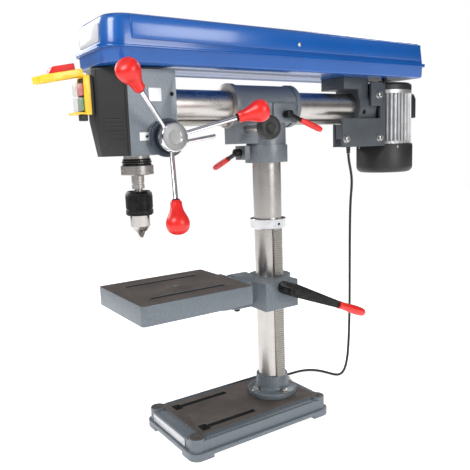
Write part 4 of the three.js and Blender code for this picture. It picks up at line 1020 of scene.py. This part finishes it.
def switchParts():
    s = switchSizes
    left, right, low, high, front = s["left"], s["right"], s["low"], s["high"], s["face"]
    dressedPart("switch_box", (0.8, 2), "switchBox", "blackPlastic", "arm")
    rim = boxed((left - 1.2, front - 1.8, low - 0.6), (right + 1.2, front + 9, high + 0.4), 1.6)
    carved(rim, boxed((left + 3.4, front - 9, low + 4.6), (right - 3.4, front + 20, high - 4.6)),
           boxed((left - 0.1, front - 0.1, low - 0.1), (right + 0.1, front + 20, high + 9)))
    settle(rim, "switchFrame", "yellowPlastic", "arm")
    lip = boxed((left, front - 21, low), (right, front - 1, low + 4), 1.6)
    settle(lip, "switchLip", "yellowPlastic", "arm")
    tab = boxed((right - 11, front - 12, low - 11), (right - 1, front + 2, low - 0.2), 1.4)
    settle(tab, "switchTab", "blackPlastic", "arm")
    for name, node, finish, slot in (("stopButton", "stop_button", "redPlastic", "red_plastic"),
                                     ("startButton", "start_button", "greenPlastic", "green_plastic")):
        button = dressed(node, 1.2, 3)
        settle(button, name, finish, node.split("_")[0])
        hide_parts(node)
        lower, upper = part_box(node)
        lidLow = [(lower.x - axisX) / mm - 1.0, front - s["lidDepth"], lower.z / mm - 0.6]
        lidHigh = [(upper.x - axisX) / mm + 1.0, front - 0.1, upper.z / mm + 0.6]
        lid = boxed(lidLow, lidHigh, 1.4)
        carved(lid, boxed([v + 0.8 for v in lidLow], (lidHigh[0] - 0.8, lidHigh[1] + 5, lidHigh[2] - 0.8)))
        settle(lid, name + "Lid", "clear", "arm")
    flap = dressed("switch_flap", 1.1, 3)
    for corner in flap.data.vertices:
        ahead = s["hinge"] - (corner.co.y - axisY) / mm
        if ahead > 0:
            corner.co.y += ahead * 0.14 * mm
            corner.co.z += ahead * 0.14 * math.tan(math.radians(s["droop"])) * mm
    carved(flap, bar(flapPoint(0, 19, s["sheetTop"] + 2), flapPoint(0, 19, s["paddleTop"] + 9), 2.4, steps=24))
    settle(flap, "switchFlap", "yellowPlastic", "flap")
    turn = math.radians(s["droop"])
    refaced(flap, "redPlastic", lambda spot, normal: (spot.z - high) * math.cos(turn)
            - (spot.y - s["hinge"]) * math.sin(turn) > s["sheetTop"] + 0.2)
    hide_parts("switch_flap")


switchParts()
print("switch done")


# Motor with its bracket, adjusting plate and cowls
motorSizes = {"y": 363, "radius": 63.5, "fin": 4.2, "fins": 40, "low": 581, "high": 706,
              "cover": 67, "coverLow": 513}


def motorParts():
    m = motorSizes
    for name, node, edge in (("motorBracket", "motor_bracket", 0.9), ("motorPlate", "motor_plate", 0.8)):
        piece = dressed(node, edge, 3)
        if node == "motor_plate":
            carved(piece, boxed((-60, 170, 570), (-30, 239, 650)))
        settle(piece, name, "bracketPaintAndFinShade", "arm")
        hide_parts(node)
    right = (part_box("motor_plate")[1].x - axisX) / mm
    bolts = [hexBolt((right - 0.3, y, z), (1, 0, 0), 13, 5.5, 9) for y, z in ((186, 595), (292, 596), (290, 693))]
    bolts += [hexBolt((-right + 0.3, y, z), (-1, 0, 0), 13, 5.5, 9) for y, z in ((292, 596), (290, 693))]
    settle(joined(bolts), "motorBolts", "zinc", "arm", 30)
    outline = []
    for fin in range(m["fins"]):
        for share, reach in ((0.08, m["radius"] - m["fin"]), (0.3, m["radius"] - 0.2), (0.55, m["radius"] - 0.2),
                             (0.77, m["radius"] - m["fin"])):
            turn = (fin + share) * math.tau / m["fins"]
            outline.append((math.cos(turn) * reach, m["y"] + math.sin(turn) * reach))
    fins = pulled(outline, m["low"], m["high"], "z")
    bevelled(fins, 0.4, 1, 30)
    collar = turned([(0, m["low"] - 0.1), (62, m["low"] - 0.1), (62, m["low"] + 6), (60, m["low"] + 7),
                     (60, m["high"] - 9),
                     (63.4, m["high"] - 8), (63.4, m["high"]), (0, m["high"])], (0, m["y"], 0), steps=96)
    foot = boxed((-24, 296.6, m["low"] + 8), (24, 323, m["high"] - 6), 1.5)
    pad = boxed((-24, 403, 647), (24, 427.4, 695), 1.5)
    settle(joined([fins, collar, foot, pad]), "motorBody", "aluminium", "arm", 30)
    # Painted shade: the groove faces deep between the cooling fins take the dark grey satin paint, to darken them
    # where shade falls between the fins
    refaced(bpy.data.objects["motorBody"], "bracketPaintAndFinShade",
            lambda spot, normal: m["low"] + 8 < spot.z < m["high"] - 10
            and abs(normal.z) < 0.5 and math.hypot(spot.x, spot.y - m["y"]) < m["radius"] - m["fin"] * 0.6)
    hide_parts("motor_body")
    cap = turned([(8, 706.3), (63.5, 706.3), (63.5, 716), (62.6, 719.6), (60, 722), (56, 723), (30, 723),
                  (28, 721.6),
                  (8, 721.6)], (0, m["y"], 0), steps=96, ring=True)
    settle(cap, "motorTopCap", "blackPlastic", "arm", 40)
    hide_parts("motor_top_cap")
    low, r = m["coverLow"], m["cover"]
    arc = [(r - 14 + math.sin(turn) * 14, low + 14 - math.cos(turn) * 14)
           for turn in [step * math.pi / 2 / 9 for step in range(10)]]
    fanCover = turned([(0, low), *arc, (r, 576), (r - 0.8, 577.4), (r - 0.8, 580), (r - 1.4, 580.7),
                       (r - 3, 580.7), (r - 3, low + 16),
                       (r - 14, low + 4), (0, low + 4)], (0, m["y"], 0), steps=96)
    slots = []
    for index in range(28):
        turn = index * math.tau / 28
        way = Vector((math.cos(turn), math.sin(turn), 0))
        centre = Vector((0, m["y"], low - 1))
        slots.append(bar(centre + way * 26, centre + way * 26 + Vector((0, 0, 9)), 2.2, steps=12))
        slots.append(bar(centre + way * 42, centre + way * 42 + Vector((0, 0, 9)), 3.0, steps=12))
    carved(fanCover, joined(slots))
    settle(fanCover, "motorFanCover", "blackPlastic", "arm", 40)
    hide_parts("motor_fan_cover")
    screws = []
    for turn in (math.radians(-20), math.radians(70), math.radians(160), math.radians(250)):
        way = Vector((math.cos(turn), math.sin(turn), 0))
        screws.append(crossScrew(Vector((0, m["y"], 574)) + way * (r - 0.6), way, 2.6, 1.2))
    settle(joined(screws), "fanCoverScrews", "zinc", "arm")
    dressedPart("capacitor_box", (2.4, 4), "capacitorBox", "blackPlastic", "arm", 40)


def driveParts():
    for name, node, body in (("spindlePulley", "spindle_pulley", "spindle_drive"),
                             ("motorPulley", "motor_pulley", "motor_drive")):
        piece = dressed(node, 0.5, 2)
        settle(piece, name, "aluminium", body, 40)
        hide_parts(node)
    dressedPart("drive_belt", (0.6, 2), "driveBelt", "rubber", "arm", 40)


motorParts()
driveParts()
print("motor done")


# Belt cover: pan and hinged lid in gloss enamel
coverSizes = {"halfWidth": 83, "front": -374, "rear": 404, "frontRadius": 36, "rearRadius": 9, "rim": 5,
              "wall": 2.4,
              "floor": 731, "seam": 758, "top": 812}


# A rounded outline, wide at its front corners and tight at its rear ones, raised through levels of inset
def coverShape(levels, grow=0.0):
    c = coverSizes
    half, low, high = c["halfWidth"] + grow, c["front"] - grow, c["rear"] + grow
    outline = []
    for x, y, start, radius in ((1, high, 0, c["rearRadius"]), (-1, high, 90, c["rearRadius"]),
                                (-1, low, 180, c["frontRadius"]), (1, low, 270, c["frontRadius"])):
        radius += grow * 0.6
        corner = (x * (half - radius), y - radius if y > 0 else y + radius)
        for step in range(13):
            turn = math.radians(start + step * 7.5)
            outline.append((corner[0] + math.cos(turn) * radius, corner[1] + math.sin(turn) * radius))
    edgeRun([(u, v, levels[0][0]) for u, v in outline])
    bpy.ops.mesh.edge_face_add()
    bpy.ops.mesh.select_all(action="SELECT")
    middle = Vector((0, (low + high) / 2, 0)) * mm
    for (lastZ, lastIn), (z, inset) in zip([(levels[0][0], 0), *levels], levels):
        if z == lastZ:
            bpy.ops.transform.resize(value=(1 - inset / half, 1 - inset * 2 / (high - low), 1),
                                     center_override=middle)
            continue
        bpy.ops.mesh.extrude_region_move(TRANSFORM_OT_translate={"value": (0, 0, (z - lastZ) * mm)})
        deep = (high - low) / 2
        bpy.ops.transform.resize(value=((half - inset) / (half - lastIn), (deep - inset) / (deep - lastIn), 1),
                                 center_override=middle)
    bpy.ops.mesh.select_all(action="SELECT")
    bpy.ops.mesh.normals_make_consistent(inside=False)
    bpy.ops.object.mode_set(mode="OBJECT")
    piece = bpy.context.object
    piece.location = at(0, 0, 0)
    bpy.ops.object.transform_apply(location=True, rotation=True, scale=True)
    return piece


def coverParts():
    c = coverSizes
    floor, seam, top, wall = c["floor"], c["seam"], c["top"], c["wall"]
    pan = coverShape([(floor, 3.2), (floor + 0.9, 1.8), (floor + 3, 0.7), (seam, 0)])
    booled(pan, "UNION", coverShape([(seam - 3, 0), (seam, 0)], c["rim"]))
    carved(pan, coverShape([(floor + wall, 3), (seam + 4, 2.4)]),
           bar((0, -298, floor - 4), (0, -298, floor + 9), 28), bar((0, 363, floor - 4), (0, 363, floor + 9), 16))
    bevelled(pan, 0.6, 2, 50)
    settle(pan, "coverPan", "blueEnamel", "arm", 40)
    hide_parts("cover_pan")
    start = seam + 0.3
    lid = coverShape([(start, 0), (start + 6, 0.4), (top - 15, 3), (top - 9, 4), (top - 5, 6), (top - 2, 9.5),
                      (top - 0.5, 14), (top, 20)])
    booled(lid, "UNION", coverShape([(start, 0), (start + 3, 0)], c["rim"]))
    carved(lid, coverShape([(start - 4, 2.4), (start + 6, 2.8), (top - 15, 5.4), (top - 8, 8), (top - 3, 16)]))
    settle(lid, "coverLid", "blueEnamel", "lid", 40)
    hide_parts("cover_lid")
    for side in (-1, 1):
        panel = boxed((side * 80.5 - 3.8, c["front"] + 42, seam + 10),
                      (side * 80.5 + 3.8, c["rear"] - 12, top - 7), 3.4)
        settle(panel, "lidPanelRight" if side > 0 else "lidPanelLeft", "blueEnamel", "lid", 40)
    screw = crossScrew((84.1, 26, 782), (1, 0, 0), 4.2, 1.8)
    settle(screw, "lidScrew", "zinc", "lid")
    label = boxed((-44, c["front"] - 0.35, seam + 8), (44, c["front"] + 3.5, top - 16), 0.1)
    settle(label, "lidLabel", "silverLabel", "lid")


coverParts()
print("cover done")


# Stops of grey around the room, a touch cool where cool is over 1
def greyRamp(nodes, stops, cool):
    node = nodes.new("ShaderNodeValToRGB")
    elements = node.color_ramp.elements
    while len(elements) < len(stops):
        elements.new(0.5)
    for element, (place, grey) in zip(elements, stops):
        element.position = place
        element.color = (grey, grey, grey * cool, 1)
    return node


# Studio: a pale floor that runs into the background, soft light from above, front and side
def addStudio():
    floor = turned([(0, -0.4), (6000, -0.4), (6000, -2), (0, -2)], (0, 0, 0), steps=48)
    floor.name = "studioFloor"
    sheet = Sheet("studio floor")
    paper = sheet.noise(3, 2)
    sheet.set(Base_Color=sheet.ramp(paper, [(0.3, (0.86, 0.86, 0.86)), (0.7, (0.9, 0.9, 0.9))]), Roughness=0.9,
              Emission_Color=(1.0, 1.0, 1.0), Emission_Strength=0.72)
    floor.data.materials.append(sheet.finish)
    lamps = (("key", (500, -1700, 1700), (0, -100, 450), 800, 26),
             ("fill", (1700, 200, 1000), (0, 0, 400), 800, 15),
             ("left", (-1500, -700, 1300), (0, 0, 450), 700, 8), ("rear", (-600, 1500, 1500), (0, 0, 500), 700, 10))
    for name, place, aimPoint, size, power in lamps:
        data = bpy.data.lights.new(name, "AREA")
        data.energy = power
        data.size = size * mm
        lamp = bpy.data.objects.new(name, data)
        bpy.context.collection.objects.link(lamp)
        way = at(*place) - at(*aimPoint)
        lamp.matrix_world = Matrix.Translation(at(*place)) @ way.to_track_quat("Z", "Y").to_matrix().to_4x4()
    world = bpy.data.worlds.new("room")
    bpy.context.scene.world = world
    world.use_nodes = True
    nodes, links = world.node_tree.nodes, world.node_tree.links
    room = nodes["Background"]
    room.inputs[1].default_value = 0.55
    plain = nodes.new("ShaderNodeBackground")
    plain.inputs[0].default_value = (1, 1, 1, 1)
    where = nodes.new("ShaderNodeTexCoord")
    split = nodes.new("ShaderNodeSeparateXYZ")
    bands = greyRamp(nodes, ((0.0, 0.85), (0.48, 0.7), (0.53, 0.16), (0.62, 0.2), (0.7, 1.0), (1.0, 1.0)), 1.02)
    shift = nodes.new("ShaderNodeMapRange")
    shift.inputs["From Min"].default_value = -1
    path = nodes.new("ShaderNodeLightPath")
    pick = nodes.new("ShaderNodeMixShader")
    links.new(where.outputs["Generated"], split.inputs[0])
    links.new(split.outputs[2], shift.inputs["Value"])
    links.new(shift.outputs[0], bands.inputs[0])
    around = nodes.new("ShaderNodeVectorMath")
    around.operation = "DOT_PRODUCT"
    around.inputs[1].default_value = (0.5, 0.5, 0.0)
    strips = greyRamp(nodes, ((0.0, 1.0), (0.2, 1.0), (0.26, 0.1), (0.34, 0.15), (0.4, 1.0), (0.56, 1.0),
                              (0.62, 0.12), (0.7, 0.2), (0.76, 1.0), (0.9, 0.3), (1.0, 0.9)), 1)
    lift = nodes.new("ShaderNodeMapRange")
    lift.inputs["From Min"].default_value = -0.71
    lift.inputs["From Max"].default_value = 0.71
    blend = nodes.new("ShaderNodeMixRGB")
    blend.blend_type = "MULTIPLY"
    blend.inputs[0].default_value = 0.75
    links.new(where.outputs["Generated"], around.inputs[0])
    links.new(around.outputs["Value"], lift.inputs["Value"])
    links.new(lift.outputs[0], strips.inputs[0])
    links.new(bands.outputs[0], blend.inputs[1])
    links.new(strips.outputs[0], blend.inputs[2])
    links.new(blend.outputs[0], room.inputs[0])
    links.new(path.outputs["Is Camera Ray"], pick.inputs[0])
    links.new(room.outputs[0], pick.inputs[1])
    links.new(plain.outputs[0], pick.inputs[2])
    links.new(pick.outputs[0], nodes["World Output"].inputs[0])
    bpy.context.scene.view_settings.view_transform = "Standard"


addStudio()
print("studio set")
